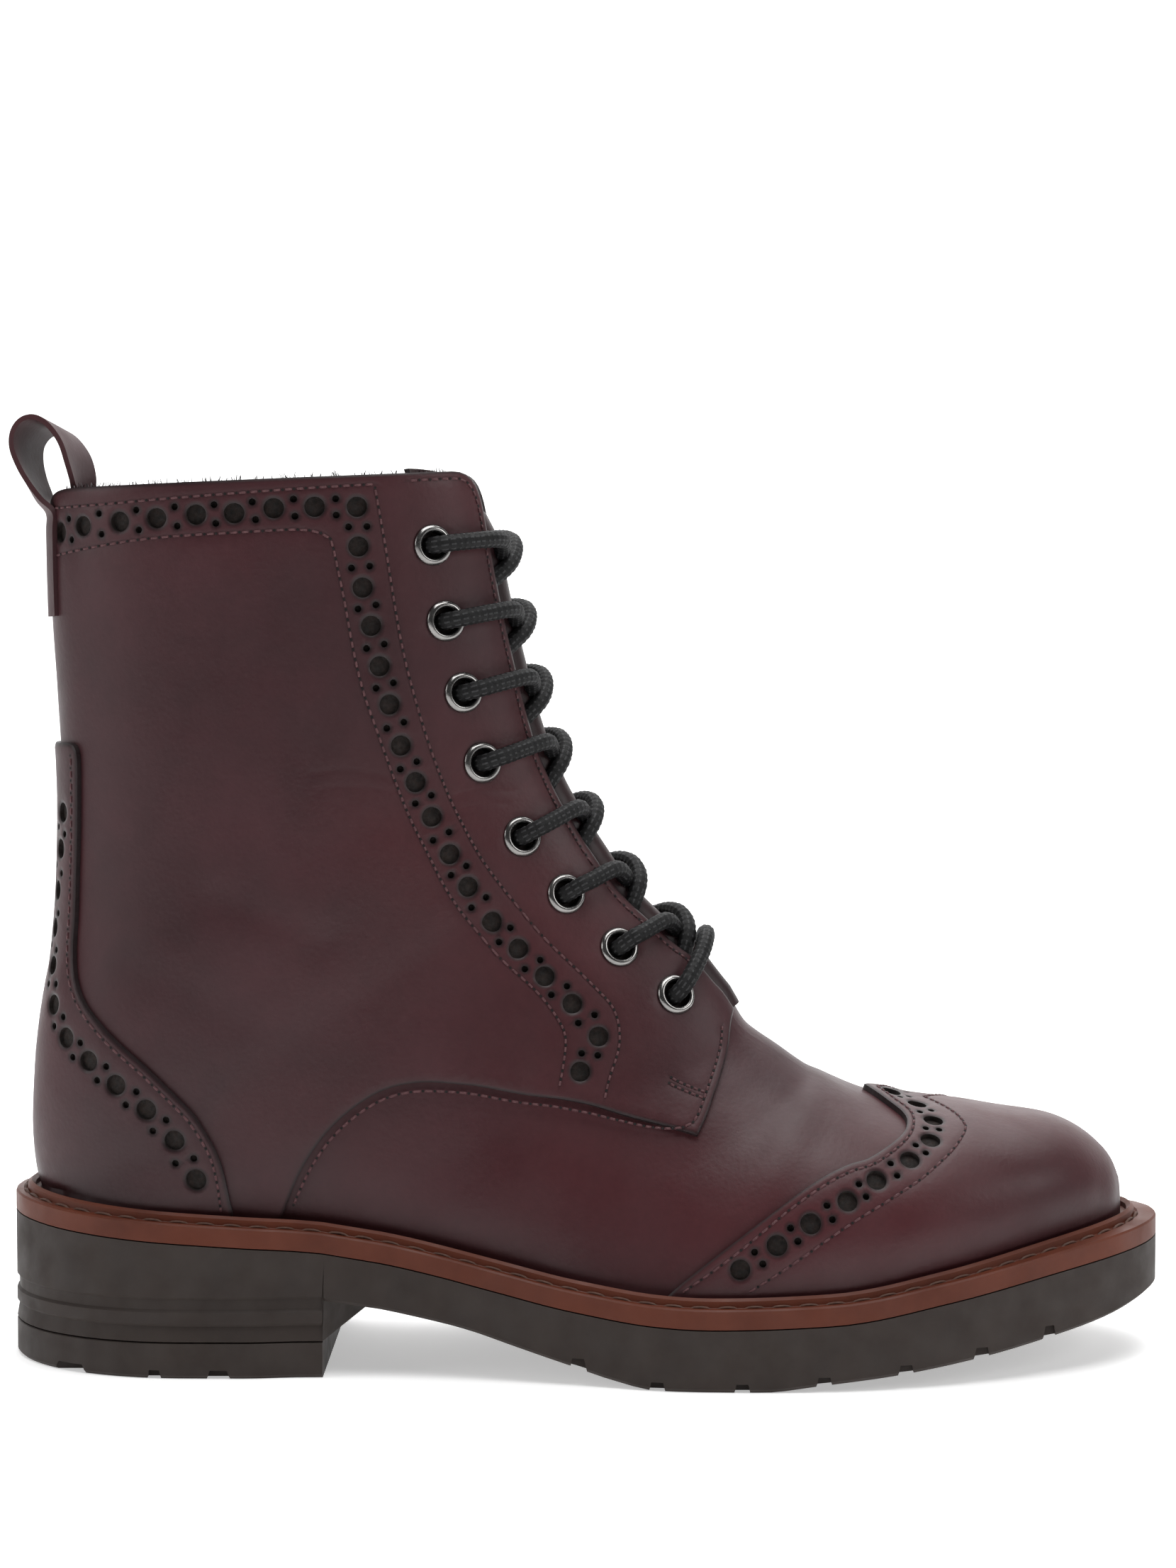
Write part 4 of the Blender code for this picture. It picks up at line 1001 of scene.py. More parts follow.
def lay_out(pieces, holes=(), grooves=(), folds=(), spacing=0.0022):
    """Triangulated flat pattern of half a panel.

    pieces is the outline in order, as (flat path, is a cut edge); holes are (centre, radius);
    grooves are stitch lines and folds are (path, depth, half width) for creases.
    """
    ring, seams, edges = [], [], []
    for path, is_edge in pieces:
        line = resample(path, EDGE_STEP if is_edge else spacing)
        (edges if is_edge else seams).append(line)
        ring += list(line[:-1])
    ring = np.array(ring)
    rims = []
    holes = [(centre, radius, stretch(np.asarray(centre))) for centre, radius in holes]
    for hole in holes:
        rims.append(circle(hole, 0.0, 24 if hole[1] > BIG_FROM else 10))
    wanted = []
    for line in edges:
        for offset in (0.0004, 0.0010):
            wanted += [beside(line, offset)[1:-1], beside(line, -offset)[1:-1]]
    for rim, hole in zip(rims, holes):
        for grow in (0.00035, 0.0010):
            wanted.append(circle(hole, grow, max(len(rim) - 2, 8)))
    for line in grooves:
        fine = resample(line, GROOVE_STEP)
        wanted += [fine, beside(fine, 0.0006), beside(fine, -0.0006)]
    for path, depth, wide in folds:
        fine = resample(path, max(wide, 0.0008))
        for share in (-1.6, -0.8, 0, 0.8, 1.6):
            wanted.append(beside(fine, wide * share))
    extra = np.vstack(wanted) if wanted else np.zeros((0, 2))
    edge_gap = from_lines(extra, edges) if edges else np.ones(len(extra))
    closed = np.vstack([ring, ring[:1]])
    keep = inside(extra, ring) & (from_lines(extra, [closed]) > 0.0003) & (edge_gap > 0.0003)
    for hole in holes:
        keep &= hole_gap(extra, hole) > 0.0002
    extra = extra[keep]
    kept = []
    low, high = ring.min(axis=0), ring.max(axis=0)
    columns = np.arange(low[0], high[0], spacing)
    lines = np.arange(low[1], high[1], spacing * 0.866)
    mesh_points = np.array(
        [(x + (k % 2) * spacing / 2, y) for k, y in enumerate(lines) for x in columns]
    )
    mesh_points = mesh_points[inside(mesh_points, ring)]
    mesh_points = mesh_points[from_lines(mesh_points, [closed]) > spacing * 0.6]
    for hole in holes:
        mesh_points = mesh_points[hole_gap(mesh_points, hole) > spacing * 0.5]
    for k, point in enumerate(extra):
        if not kept or thin_out(kept, point, extra):
            kept.append(k)
    extra = extra[kept] if kept else extra
    thin = KDTree(max(len(extra), 1))
    for k, point in enumerate(extra):
        thin.insert((*point, 0), k)
    thin.balance()
    if len(extra):
        far = [thin.find((*p, 0))[2] > spacing * 0.55 for p in mesh_points]
        mesh_points = mesh_points[far]
    loops_of = [ring, *rims]
    points, links = [], []
    for loop in loops_of:
        start = len(points)
        points += [Vector(p * 1000) for p in loop]
        links += [(start + k, start + (k + 1) % len(loop)) for k in range(len(loop))]
    points += [Vector(p * 1000) for p in extra]
    points += [Vector(p * 1000) for p in mesh_points]
    made = delaunay_2d_cdt(points, links, [], 0, 1e-4)
    flat = np.array([tuple(p) for p in made[0]]) / 1000
    faces = np.array([f for f in made[2] if len(f) == 3])
    centres = flat[faces].mean(axis=1)
    good = inside(centres, ring)
    for rim in rims:
        near = np.linalg.norm(centres - rim.mean(axis=0), axis=1) < 0.009
        good[near] &= ~inside(centres[near], rim)
    faces = faces[good]
    drop = np.zeros(len(flat))
    shade = np.zeros(len(flat))
    if edges:
        gap = from_lines(flat, edges)
        drop += EDGE_DIP * np.clip(1 - gap / EDGE_REACH, 0, 1) ** 2
        shade = np.maximum(shade, 0.9 * np.exp(-((gap / 0.0007) ** 2)))
    for hole in holes:
        gap = np.maximum(hole_gap(flat, hole), 0)
        dip_here = BIG_DIP if hole[1] > BIG_FROM else SMALL_DIP
        drop += dip_here * np.clip(1 - gap / HOLE_REACH, 0, 1) ** 2
        shade = np.maximum(shade, 0.85 * np.exp(-((gap / 0.0006) ** 2)))
    if grooves:
        gap = from_lines(flat, [resample(g, GROOVE_STEP) for g in grooves])
        drop += GROOVE_DIP * np.exp(-((gap / GROOVE_REACH) ** 2))
        shade = np.maximum(shade, 0.30 * np.exp(-((gap / 0.0005) ** 2)))
    for path, depth, wide in folds:
        gap = from_lines(flat, [np.asarray(path)])
        drop += depth * np.exp(-((gap / wide) ** 2))
    return {
        "holes": holes, "flat": flat, "faces": faces, "drop": drop, "shade": shade, "seams": seams,
        "rims": rims, "ring": ring,
    }


def thin_out(kept, point, every):
    near = every[kept[-60:]]
    return ((near - point) ** 2).sum(axis=1).min() > 0.00022**2


def build_mesh(name, verts, faces, slots, materials, shade=None, weld=0.0, angle=40):
    mesh = bpy.data.meshes.new(name)
    mesh.from_pydata([tuple(v) for v in verts], [], [list(f) for f in faces])
    for material in materials:
        mesh.materials.append(material)
    mesh.polygons.foreach_set("material_index", np.asarray(slots, np.int32))
    if shade is not None:
        layer = mesh.attributes.new("shade", "FLOAT", "POINT")
        layer.data.foreach_set("value", np.asarray(shade, np.float32))
    if weld:
        shape = bmesh.new()
        shape.from_mesh(mesh)
        bmesh.ops.remove_doubles(shape, verts=shape.verts, dist=weld)
        shape.to_mesh(mesh)
        shape.free()
    mesh.validate()
    mesh.polygons.foreach_set("use_smooth", np.ones(len(mesh.polygons), bool))
    mesh.set_sharp_from_angle(angle=math.radians(angle))
    obj = bpy.data.objects.new(name, mesh)
    bpy.context.scene.collection.objects.link(obj)
    return obj


def welt_shade(row, v):
    """Darker leather low down, above the welt."""
    gap = grid_at(GIRTH, row, np.ones_like(row)) - grid_at(GIRTH, row, np.minimum(v, 1.0))
    low = np.clip((row - 6.0) / 3.0, 0, 1)
    return 0.40 * low * np.exp(-gap / 0.010)


# Points nearer than this in metres are one, where a panel's two sides meet.
SEAM_WELD = 2e-5


def dress(name, pattern, sides, low, high, materials, floor=None):
    """Panel in the round from its flat pattern: top, cut edges and the floors of its holes."""
    floor = low + 0.0002 if floor is None else floor
    row, v = from_plane(pattern["flat"])
    verts, faces, slots, shade = [], [], [], []
    base = 0
    tris = pattern["faces"]
    pairs = {}
    for a, b, c in tris:
        for e in ((a, b), (b, c), (c, a)):
            pairs[e] = True
    open_edges = [e for e in pairs if (e[1], e[0]) not in pairs]
    mids = np.array([(pattern["flat"][a] + pattern["flat"][b]) / 2 for a, b in open_edges])
    seam_gap = from_lines(mids, pattern["seams"]) if pattern["seams"] else np.ones(len(mids))
    walls = [e for e, gap in zip(open_edges, seam_gap) if gap > 2e-5]
    rim_edges = set()
    hole_rings = []
    wall_mids = np.array([(pattern["flat"][a] + pattern["flat"][b]) / 2 for a, b in walls])
    for hole in pattern["holes"]:
        ring = [walls[k] for k in np.nonzero(hole_gap(wall_mids, hole) < 0.0001)[0]]
        rim_edges.update(ring)
        follow = {a: b for a, b in ring}
        if ring:
            start = at = ring[0][0]
            loop = [at]
            while follow.get(at, start) != start and len(loop) < 80:
                at = follow[at]
                loop.append(at)
            hole_rings.append(loop)
    for side in sides:
        top = place(row, v, side, high - pattern["drop"])
        foot = place(row, v, side, low)
        deep = place(row, v, side, floor)
        out = facing(row, v, side)
        turn = np.cross(top[tris[:, 1]] - top[tris[:, 0]], top[tris[:, 2]] - top[tris[:, 0]])
        flip = (turn * out[tris[:, 0]]).sum() < 0
        count = len(top)
        verts += [top, foot, deep]
        tone = np.maximum(pattern["shade"], welt_shade(row, v))
        shade += [tone, tone, tone]
        for f in tris:
            faces.append([base + k for k in (f[::-1] if flip else f)])
            slots.append(0)
        for a, b in walls:
            deep_base = base + (2 if (a, b) in rim_edges else 1) * count
            quad = [base + b, base + a, deep_base + a, deep_base + b]
            faces.append(quad[::-1] if flip else quad)
            slots.append(2 if (a, b) in rim_edges else 1)
        for loop in hole_rings:
            ring = [base + 2 * count + k for k in loop]
            faces.append(ring if flip else ring[::-1])
            slots.append(2)
        base += 3 * count
    obj = build_mesh(
        name,
        np.vstack(verts),
        faces,
        slots,
        materials,
        np.concatenate(shade),
        SEAM_WELD if len(sides) > 1 else 0.0,
    )
    shape = bmesh.new()
    shape.from_mesh(obj.data)
    bmesh.ops.delete(shape, geom=[p for p in shape.verts if not p.link_faces], context="VERTS")
    shape.to_mesh(obj.data)
    shape.free()
    return obj


def tube_faces(start, rings, around):
    """Faces between the rings of a tube whose points begin at a number."""
    return [
        [
            start + r * around + m,
            start + r * around + (m + 1) % around,
            start + (r + 1) * around + (m + 1) % around,
            start + (r + 1) * around + m,
        ]
        for r in range(rings - 1)
        for m in range(around)
    ]


# A panel stitch in metres: distance between needle holes, thread radius, how high its middle
# lies over the line and how far its ends sink; the share of the pitch that shows as thread.
STITCH_PITCH = 0.00265
STITCH_RADIUS = 0.00025
STITCH_RISE = 0.00016
STITCH_SINK = 0.0003
STITCH_SHARE = 0.66
# Dark disc of painted shade over each needle hole: lift over the line in metres, and radius as a
# share of the thread's.
NEEDLE_LIFT = 0.00014
NEEDLE_SIZE = 1.35
# Points round a thread.
THREAD_SIDES = 6


def thread(name, lines, sides, height, material, dark):
    """Row of stitches along flat lines, each a bent thread with a dark disc at its start as the
    painted shade of its needle hole.
    """
    gap = (1 - STITCH_SHARE) / 2
    # Share of the way along, lift and size of each ring of a stitch.
    bends = (
        (gap, -STITCH_SINK, 0.8),
        (gap + 0.12, STITCH_RISE * 0.7, 1.0),
        (1 - gap - 0.12, STITCH_RISE * 0.7, 1.0),
        (1 - gap, -STITCH_SINK, 0.8),
    )
    turns = [2 * math.pi * m / THREAD_SIDES for m in range(THREAD_SIDES)]
    verts, faces, slots = [], [], []
    for side in sides:
        for line in lines:
            flat = resample(line, STITCH_PITCH)
            row, v = from_plane(flat)
            at = place(row, v, side, height)
            out = facing(row, v, side)
            for k in range(len(flat) - 1):
                a, b = at[k], at[k + 1]
                n = out[k] + out[k + 1]
                n /= np.linalg.norm(n)
                run = (b - a) / max(np.linalg.norm(b - a), 1e-9)
                across = np.cross(n, run)
                start = len(verts)
                for t, lift, size in bends:
                    c = a + (b - a) * t + n * lift
                    for turn in turns:
                        round_it = across * math.cos(turn) * 1.15 + n * math.sin(turn) * 0.8
                        verts.append(c + round_it * STITCH_RADIUS * size)
                made = tube_faces(start, len(bends), THREAD_SIDES)
                faces += made
                slots += [0] * len(made)
                # Flat dark disc at the stitch's start: painted shade for the needle hole.
                start = len(verts)
                for turn in turns:
                    round_it = across * math.cos(turn) + run * math.sin(turn)
                    verts.append(a + n * NEEDLE_LIFT + round_it * STITCH_RADIUS * NEEDLE_SIZE)
                faces.append([start + m for m in range(THREAD_SIDES)])
                slots.append(1)
    return build_mesh(name, np.array(verts), faces, slots, [material, dark], angle=80)


# Materials.
def new_material(name):
    material = bpy.data.materials.new(name)
    material.use_nodes = True
    tree = material.node_tree
    return material, tree, tree.nodes["Principled BSDF"]


def node(tree, kind, **values):
    made = tree.nodes.new(kind)
    for key, value in values.items():
        if key.startswith("in_"):
            made.inputs[key[3:].replace("_", " ")].default_value = value
        else:
            setattr(made, key, value)
    return made


def mixed(tree, first, second, factor, blend="MIX"):
    made = tree.nodes.new("ShaderNodeMix")
    made.data_type = "RGBA"
    made.blend_type = blend
    for socket, value in (
        (made.inputs[6], first), (made.inputs[7], second), (made.inputs[0], factor)
    ):
        if hasattr(value, "links"):
            tree.links.new(value, socket)
        else:
            socket.default_value = value
    return made.outputs[2]


def ramp(tree, source, low, high, to_low=0.0, to_high=1.0):
    made = node(tree, "ShaderNodeMapRange", clamp=True)
    tree.links.new(source, made.inputs["Value"])
    for key, value in (
        ("From Min", low), ("From Max", high), ("To Min", to_low), ("To Max", to_high)
    ):
        made.inputs[key].default_value = value
    return made.outputs["Result"]


def noise(tree, scale, detail=3.0, rough=0.5):
    coords = node(tree, "ShaderNodeTexCoord")
    made = node(tree, "ShaderNodeTexNoise", in_Scale=scale, in_Detail=detail, in_Roughness=rough)
    tree.links.new(coords.outputs["Object"], made.inputs["Vector"])
    return made.outputs["Fac"]


def bumped(tree, shader, sources):
    previous = None
    for source, distance, strength in sources:
        made = node(tree, "ShaderNodeBump", in_Strength=strength, in_Distance=distance)
        tree.links.new(source, made.inputs["Height"])
        if previous:
            tree.links.new(previous, made.inputs["Normal"])
        previous = made.outputs["Normal"]
    tree.links.new(previous, shader.inputs["Normal"])


def leather(name, dark, light, red, rough=(0.38, 0.54), grain=1.0, coat=0.04):
    material, tree, shader = new_material(name)
    broad = ramp(tree, noise(tree, 26.0, 4.0, 0.55), 0.36, 0.66)
    patches = ramp(tree, noise(tree, 9.0, 2.0, 0.5), 0.45, 0.68)
    fine = ramp(tree, noise(tree, 480.0, 3.0, 0.6), 0.3, 0.75)
    colour = mixed(tree, (*dark, 1), (*light, 1), broad)
    colour = mixed(tree, colour, (*red, 1), patches)
    speck = ramp(tree, fine, 0.0, 1.0, 0.0, 0.16)
    colour = mixed(tree, colour, (*[c * 0.45 for c in dark], 1), speck)
    shade = node(tree, "ShaderNodeAttribute", attribute_name="shade")
    colour = mixed(tree, colour, (0.006, 0.0035, 0.004, 1), shade.outputs["Fac"])
    tree.links.new(colour, shader.inputs["Base Color"])
    coords = node(tree, "ShaderNodeTexCoord")
    cells = node(tree, "ShaderNodeTexVoronoi", in_Scale=950.0, feature="SMOOTH_F1")
    tree.links.new(coords.outputs["Object"], cells.inputs["Vector"])
    tree.links.new(
        ramp(tree, noise(tree, 55.0, 5.0, 0.6), 0.3, 0.7, *rough), shader.inputs["Roughness"]
    )
    bumped(
        tree,
        shader,
        [
            (noise(tree, 38.0, 4.0, 0.55), 0.0016, 0.16 * grain),
            (cells.outputs["Distance"], 0.00012, 0.30 * grain),
            (noise(tree, 1900.0, 4.0, 0.6), 0.00008, 0.35 * grain),
        ],
    )
    shader.inputs["Coat Weight"].default_value = coat
    shader.inputs["Coat Roughness"].default_value = 0.32
    shader.inputs["Specular IOR Level"].default_value = 0.34
    return material


def plain(name, low, high, scale, rough, bump, metallic=0.0, coarse=None):
    material, tree, shader = new_material(name)
    colour = mixed(tree, (*low, 1), (*high, 1), ramp(tree, noise(tree, scale, 4.0, 0.6), 0.3, 0.72))
    tree.links.new(colour, shader.inputs["Base Color"])
    tree.links.new(
        ramp(tree, noise(tree, scale * 1.7, 3.0), 0.3, 0.7, *rough), shader.inputs["Roughness"]
    )
    shader.inputs["Metallic"].default_value = metallic
    sources = [(noise(tree, scale * 6, 4.0, 0.6), bump, 0.35)]
    if coarse:
        sources.insert(0, (noise(tree, coarse, 3.0), bump * 4, 0.25))
    bumped(tree, shader, sources)
    return material


LEATHER = leather(
    "burgundy_leather_grain",
    (0.038, 0.0125, 0.0150),
    (0.058, 0.0180, 0.0220),
    (0.072, 0.0165, 0.0200),
)
# Same leather as the upper, made much darker: painted shade for the tongue, which lies in shade
# between the facings.
TONGUE_SHADED_LEATHER = leather(
    "tongue_leather_painted_shade", (0.016, 0.0065, 0.0075), (0.028, 0.009, 0.011), (0.030, 0.009, 0.010)
)
PANEL = leather(
    "panel_leather_grain", (0.040, 0.0135, 0.0160), (0.060, 0.0190, 0.0230), (0.074, 0.0170, 0.0205)
)
CUT_EDGE = plain(
    "burnished_edge", (0.010, 0.005, 0.006), (0.020, 0.009, 0.010), 600.0, (0.45, 0.65), 0.0001
)
HOLE = plain(
    "punched_hole", (0.006, 0.0045, 0.004), (0.022, 0.012, 0.009), 700.0, (0.75, 0.95), 0.0002
)
LINING = plain(
    "raw_lining", (0.050, 0.022, 0.022), (0.090, 0.045, 0.042), 900.0, (0.85, 1.0), 0.0004
)
THREAD = plain(
    "burgundy_thread", (0.060, 0.018, 0.022), (0.130, 0.052, 0.056), 1500.0, (0.55, 0.75), 0.0001
)
# Near-black for the discs over the needle holes: painted shade.
NEEDLE_HOLE_SHADE = plain(
    "needle_hole_painted_shade", (0.004, 0.003, 0.003), (0.008, 0.005, 0.005), 900.0, (0.8, 0.95), 0.0001
)
STRAP = leather(
    "loop_leather_grain",
    (0.040, 0.0125, 0.0150),
    (0.060, 0.019, 0.023),
    (0.066, 0.018, 0.021),
    (0.5, 0.65),
)
WELT = plain(
    "waxed_welt", (0.084, 0.0175, 0.0070), (0.126, 0.0290, 0.0120), 60.0, (0.42, 0.60), 0.00015,
    coarse=25.0,
)
WELT_THREAD = plain(
    "welt_thread", (0.060, 0.024, 0.015), (0.115, 0.052, 0.034), 900.0, (0.6, 0.8), 0.0001
)
RUBBER = plain(
    "sole_rubber", (0.028, 0.020, 0.017), (0.038, 0.0275, 0.0230), 90.0, (0.55, 0.75), 0.00012,
    coarse=40.0,
)
INSOLE = plain(
    "insole_leather_grain", (0.17, 0.10, 0.065), (0.23, 0.14, 0.09), 200.0, (0.6, 0.8), 0.0002
)
NICKEL = plain(
    "dark_nickel_plate", (0.23, 0.225, 0.22), (0.32, 0.31, 0.30), 300.0, (0.17, 0.28), 0.00003,
    metallic=1.0,
)
CORD = plain(
    "waxed_braid", (0.004, 0.004, 0.0043), (0.011, 0.011, 0.0115), 1500.0, (0.5, 0.75), 0.0001
)
# Lighter copy of the cord's colour for the tops of the braid's crests: a painted glint.
CORD_GLINT = plain(
    "waxed_braid_painted_glint", (0.022, 0.022, 0.023), (0.055, 0.055, 0.057), 1500.0, (0.5, 0.75), 0.0001
)
for material, level in ((CORD, 0.25), (CORD_GLINT, 0.25), (WELT, 0.28), (RUBBER, 0.34)):
    material.node_tree.nodes["Principled BSDF"].inputs["Specular IOR Level"].default_value = level
FLOOR = plain("pale_floor", (0.90, 0.90, 0.90), (0.92, 0.92, 0.92), 1.0, (0.7, 0.8), 0.00001)
FLOOR.node_tree.nodes["Principled BSDF"].inputs["Emission Color"].default_value = (1, 1, 1, 1)
FLOOR.node_tree.nodes["Principled BSDF"].inputs["Emission Strength"].default_value = 0.42


def finish_piece(obj, slot, *nodes):
    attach(obj, "root")
    if nodes:
        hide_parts(*nodes)
    return obj


# Measured lines in pixels of the photograph, on the outer side.
QUARTER_LOW = (
    (396, 1722), (404, 1700), (415, 1671), (434, 1633), (465, 1591), (507, 1556), (545, 1535),
    (591, 1526), (637, 1528), (706, 1539), (783, 1549), (859, 1562), (936, 1585), (984, 1600),
)
QUARTER_TAB = ((984, 1600), (1000, 1568), (1029, 1485), (1032, 1440))
COUNTER_FRONT = (
    (88, 1045), (96, 1047), (103, 1055), (106, 1067), (106, 1120), (106, 1174), (104, 1281),
    (99, 1339), (102, 1381), (111, 1410), (132, 1439), (171, 1479), (207, 1509), (250, 1551),
    (279, 1580), (300, 1616), (314, 1651), (323, 1694), (330, 1718),
)
WING_BACK = (
    (1221, 1529), (1252, 1549), (1275, 1566), (1282, 1579), (1275, 1600), (1228, 1634),
    (1198, 1640), (1150, 1665), (1079, 1718), (1012, 1770), (945, 1824),
)
WING_HOLES = (
    (1257, 1539), (1294, 1556), (1317, 1579), (1313, 1607), (1284, 1635), (1237, 1664),
    (1196, 1694), (1144, 1726), (1096, 1757), (1044, 1792),
)
WING_STITCH = (
    (
        (1236, 1535), (1262, 1550), (1284, 1564), (1291, 1579), (1284, 1605), (1236, 1643),
        (1203, 1650), (1157, 1674), (1088, 1726), (960, 1826),
    ),
    (
        (1303, 1546), (1325, 1556), (1349, 1570), (1360, 1582), (1364, 1590), (1356, 1606),
        (1344, 1623), (1323, 1643), (1298, 1665), (1283, 1674), (1178, 1738), (1054, 1825),
    ),
)
COUNTER_HOLES = (
    (86, 1146), (83, 1197), (79, 1255), (75, 1308), (72, 1362), (73, 1417), (91, 1464), (123, 1497),
    (162, 1531), (205, 1566), (245, 1610), (276, 1665),
)
COUNTER_STITCH = (
    (
        (98, 1066), (99, 1174), (97, 1281), (92, 1339), (95, 1383), (105, 1415), (126, 1446),
        (165, 1487), (201, 1517), (243, 1559), (271, 1587), (291, 1620), (304, 1655), (312, 1712),
    ),
)
BAND_HOLES = (
    (84, 751), (116, 742), (168, 736), (220, 731), (276, 726), (330, 724), (386, 717), (444, 715),
    (504, 715), (506, 771), (512, 829), (524, 883), (536, 940), (550, 994), (566, 1052),
    (587, 1104), (610, 1153), (635, 1205), (661, 1251), (694, 1299), (732, 1339), (769, 1377),
    (808, 1416), (845, 1462), (819, 1512),
)
BAND_STITCH = (
    ((77, 717), (140, 712), (240, 703), (340, 695), (440, 688), (529, 683)),
    (
        (79, 784), (200, 759), (330, 751), (464, 744), (474, 790), (486, 847), (500, 926),
        (514, 983), (532, 1031), (556, 1097), (582, 1162), (606, 1208), (637, 1269), (679, 1322),
        (725, 1368), (765, 1406), (787, 1436), (798, 1458), (798, 1482), (789, 1534),
    ),
    (
        (529, 688), (544, 770), (556, 849), (572, 936), (594, 1016), (629, 1112), (660, 1177),
        (687, 1224), (734, 1284), (770, 1324), (822, 1375), (856, 1408), (872, 1437), (875, 1465),
        (872, 1486), (859, 1522), (853, 1551),
    ),
)
LOW_STITCH = (
    (414, 1700), (424, 1676), (443, 1638), (473, 1598), (513, 1565), (549, 1546), (592, 1538),
    (637, 1540), (706, 1551), (783, 1561), (859, 1574), (932, 1593), (976, 1590), (990, 1562),
    (1017, 1484), (1019, 1445),
)
BAR_TACK = (((947, 1520), (997, 1541)), ((944, 1528), (994, 1549)))
BIG_HOLE = 0.00235
SMALL_HOLE = 0.00082


def flat_line(pixels, turns=2, height=STACK):
    return rounded(to_plane(locate(pixels, height)), turns)


def punched(pixels, height=STACK):
    """Big holes, and a pair of small ones across the row between each two of them."""
    big = to_plane(locate(pixels, height))
    holes = [(p, BIG_HOLE) for p in big]
    for a, b in zip(big, big[1:]):
        mid, run = (a + b) / 2, (b - a) / np.linalg.norm(b - a)
        across = np.array([-run[1], run[0]])
        holes += [(mid + across * 0.0021 * k, SMALL_HOLE) for k in (-1, 1)]
    return holes


def row_line(start, stop, v, count=40):
    return to_plane([(r, v) for r in np.linspace(start, stop, count)])


def edge_line(start, stop, count=60):
    return to_plane([(r, upper_edge(r)) for r in np.linspace(start, stop, count)])


def corner(a, b, c, count=8):
    t = np.linspace(0, 1, count)[:, None]
    return np.asarray(a) * (1 - t) ** 2 + 2 * np.asarray(b) * t * (1 - t) + np.asarray(c) * t**2


# v to which the panels run, just under the welt's bead.
TUCK = 1.004
# Rounded front corner at the collar: rows down the throat's edge and v along the collar.
CORNER_ROWS = 0.65
CORNER_V = 0.085


def dip(v):
    """How many rows the collar drops towards the back seam."""
    return 0.15 * np.clip((np.asarray(v, float) - 0.82) / 0.18, 0, 1) ** 2


def quarter_pattern():
    low = locate(QUARTER_LOW)
    tab = locate(QUARTER_TAB)
    start = float(low[0][0])
    low = np.vstack([[(start - 0.02, TUCK)], low])
    top_row = float(tab[-1][0])
    front = edge_line(min(top_row, THROAT_END), CORNER_ROWS)
    top_a, top_corner = front[-1], edge_line(CORNER_ROWS, 0.0, 2)[-1]
    top_b = to_plane([(0.0, upper_edge(0) + CORNER_V)])[0]
    turn = corner(top_a, top_corner, top_b)
    collar = to_plane([(float(dip(v)), v) for v in np.linspace(upper_edge(0) + CORNER_V, 1.0, 60)])
    back = np.vstack(
        [row_line(float(dip(1)), HEEL_CORNER, 1.0), row_line(HEEL_CORNER, start - 0.02, TUCK)]
    )
    lower = rounded(to_plane(low), 2)
    up = rounded(np.vstack([to_plane(tab), front[:1]]), 2)
    holes = punched(BAND_HOLES)
    eyelets = [(p, EYELET_RADIUS - 0.0008) for p in EYELET_FLAT]
    grooves = [flat_line(line) for line in (*BAND_STITCH, LOW_STITCH, *BAR_TACK)]
    facing_stitch = beside(np.vstack([front, turn[1:], collar[1:8]]), -0.0022)
    sign = inside(
        facing_stitch[len(front) // 2 : len(front) // 2 + 1],
        np.vstack([collar, back, lower, up, front, turn]),
    )
    if not sign[0]:
        facing_stitch = beside(np.vstack([front, turn[1:], collar[1:8]]), 0.0022)
    grooves.append(facing_stitch[6:])
    pieces = [
        (collar, True),
        (back, False),
        (lower, True),
        (up, True),
        (np.vstack([front, turn[1:]]), True),
    ]
    folds = [(flat_line(path), depth, wide) for path, depth, wide in QUARTER_FOLDS]
    return lay_out(pieces, holes + eyelets, grooves, folds), grooves


# Fine creases where the shaft bends: pixels, depth and half width in metres.
QUARTER_FOLDS = (
    (((440, 1092), (480, 1084), (530, 1090), (575, 1104)), 0.00008, 0.0009),
    (((455, 1112), (500, 1108), (560, 1116)), 0.00006, 0.0008),
    (((640, 1122), (680, 1112), (725, 1116)), 0.00010, 0.0008),
    (((652, 1140), (690, 1132), (716, 1134)), 0.00008, 0.0007),
    (((300, 1270), (380, 1292), (450, 1330)), 0.00030, 0.0050),
    (((180, 1370), (260, 1392), (330, 1440)), 0.00030, 0.0060),
)


def counter_pattern():
    front = locate(COUNTER_FRONT, 2 * STACK)
    top, foot = float(front[0][0]), float(front[-1][0])
    front = np.vstack([[(top, 1.0)], front[1:], [(foot + 0.01, TUCK)]])
    edge = rounded(to_plane(front), 2)
    base = np.vstack(
        [row_line(foot + 0.01, HEEL_CORNER, TUCK), row_line(HEEL_CORNER, top, 1.0)[1:]]
    )
    grooves = [flat_line(line, height=2 * STACK) for line in COUNTER_STITCH]
    return lay_out(
        [(edge, True), (base, False)], punched(COUNTER_HOLES, 2 * STACK), grooves, spacing=0.002
    ), grooves


def wing_pattern():
    back = locate(WING_BACK)
    peak, foot = float(back[0][0]), float(back[-1][0])
    back = np.vstack([[(peak, 0.0)], back[1:], [(foot, TUCK)]])
    edge = rounded(to_plane(back), 2)
    base = row_line(foot, TIP, TUCK, 80)
    tip = to_plane([(TIP, v) for v in np.linspace(TUCK, 0.0, 30)])
    ridge = row_line(TIP, peak, 0.0, 80)
    grooves = [flat_line(line) for line in WING_STITCH]
    return lay_out(
        [(edge, True), (base, False), (tip, False), (ridge, False)], punched(WING_HOLES), grooves
    ), grooves


EYELET_PIXELS = (
    (611, 769), (629, 876), (654, 977), (681, 1076), (737, 1180), (799, 1261), (874, 1336),
    (954, 1403),
)
EYELET_PLACES = locate(EYELET_PIXELS)
EYELET_FLAT = to_plane(EYELET_PLACES)

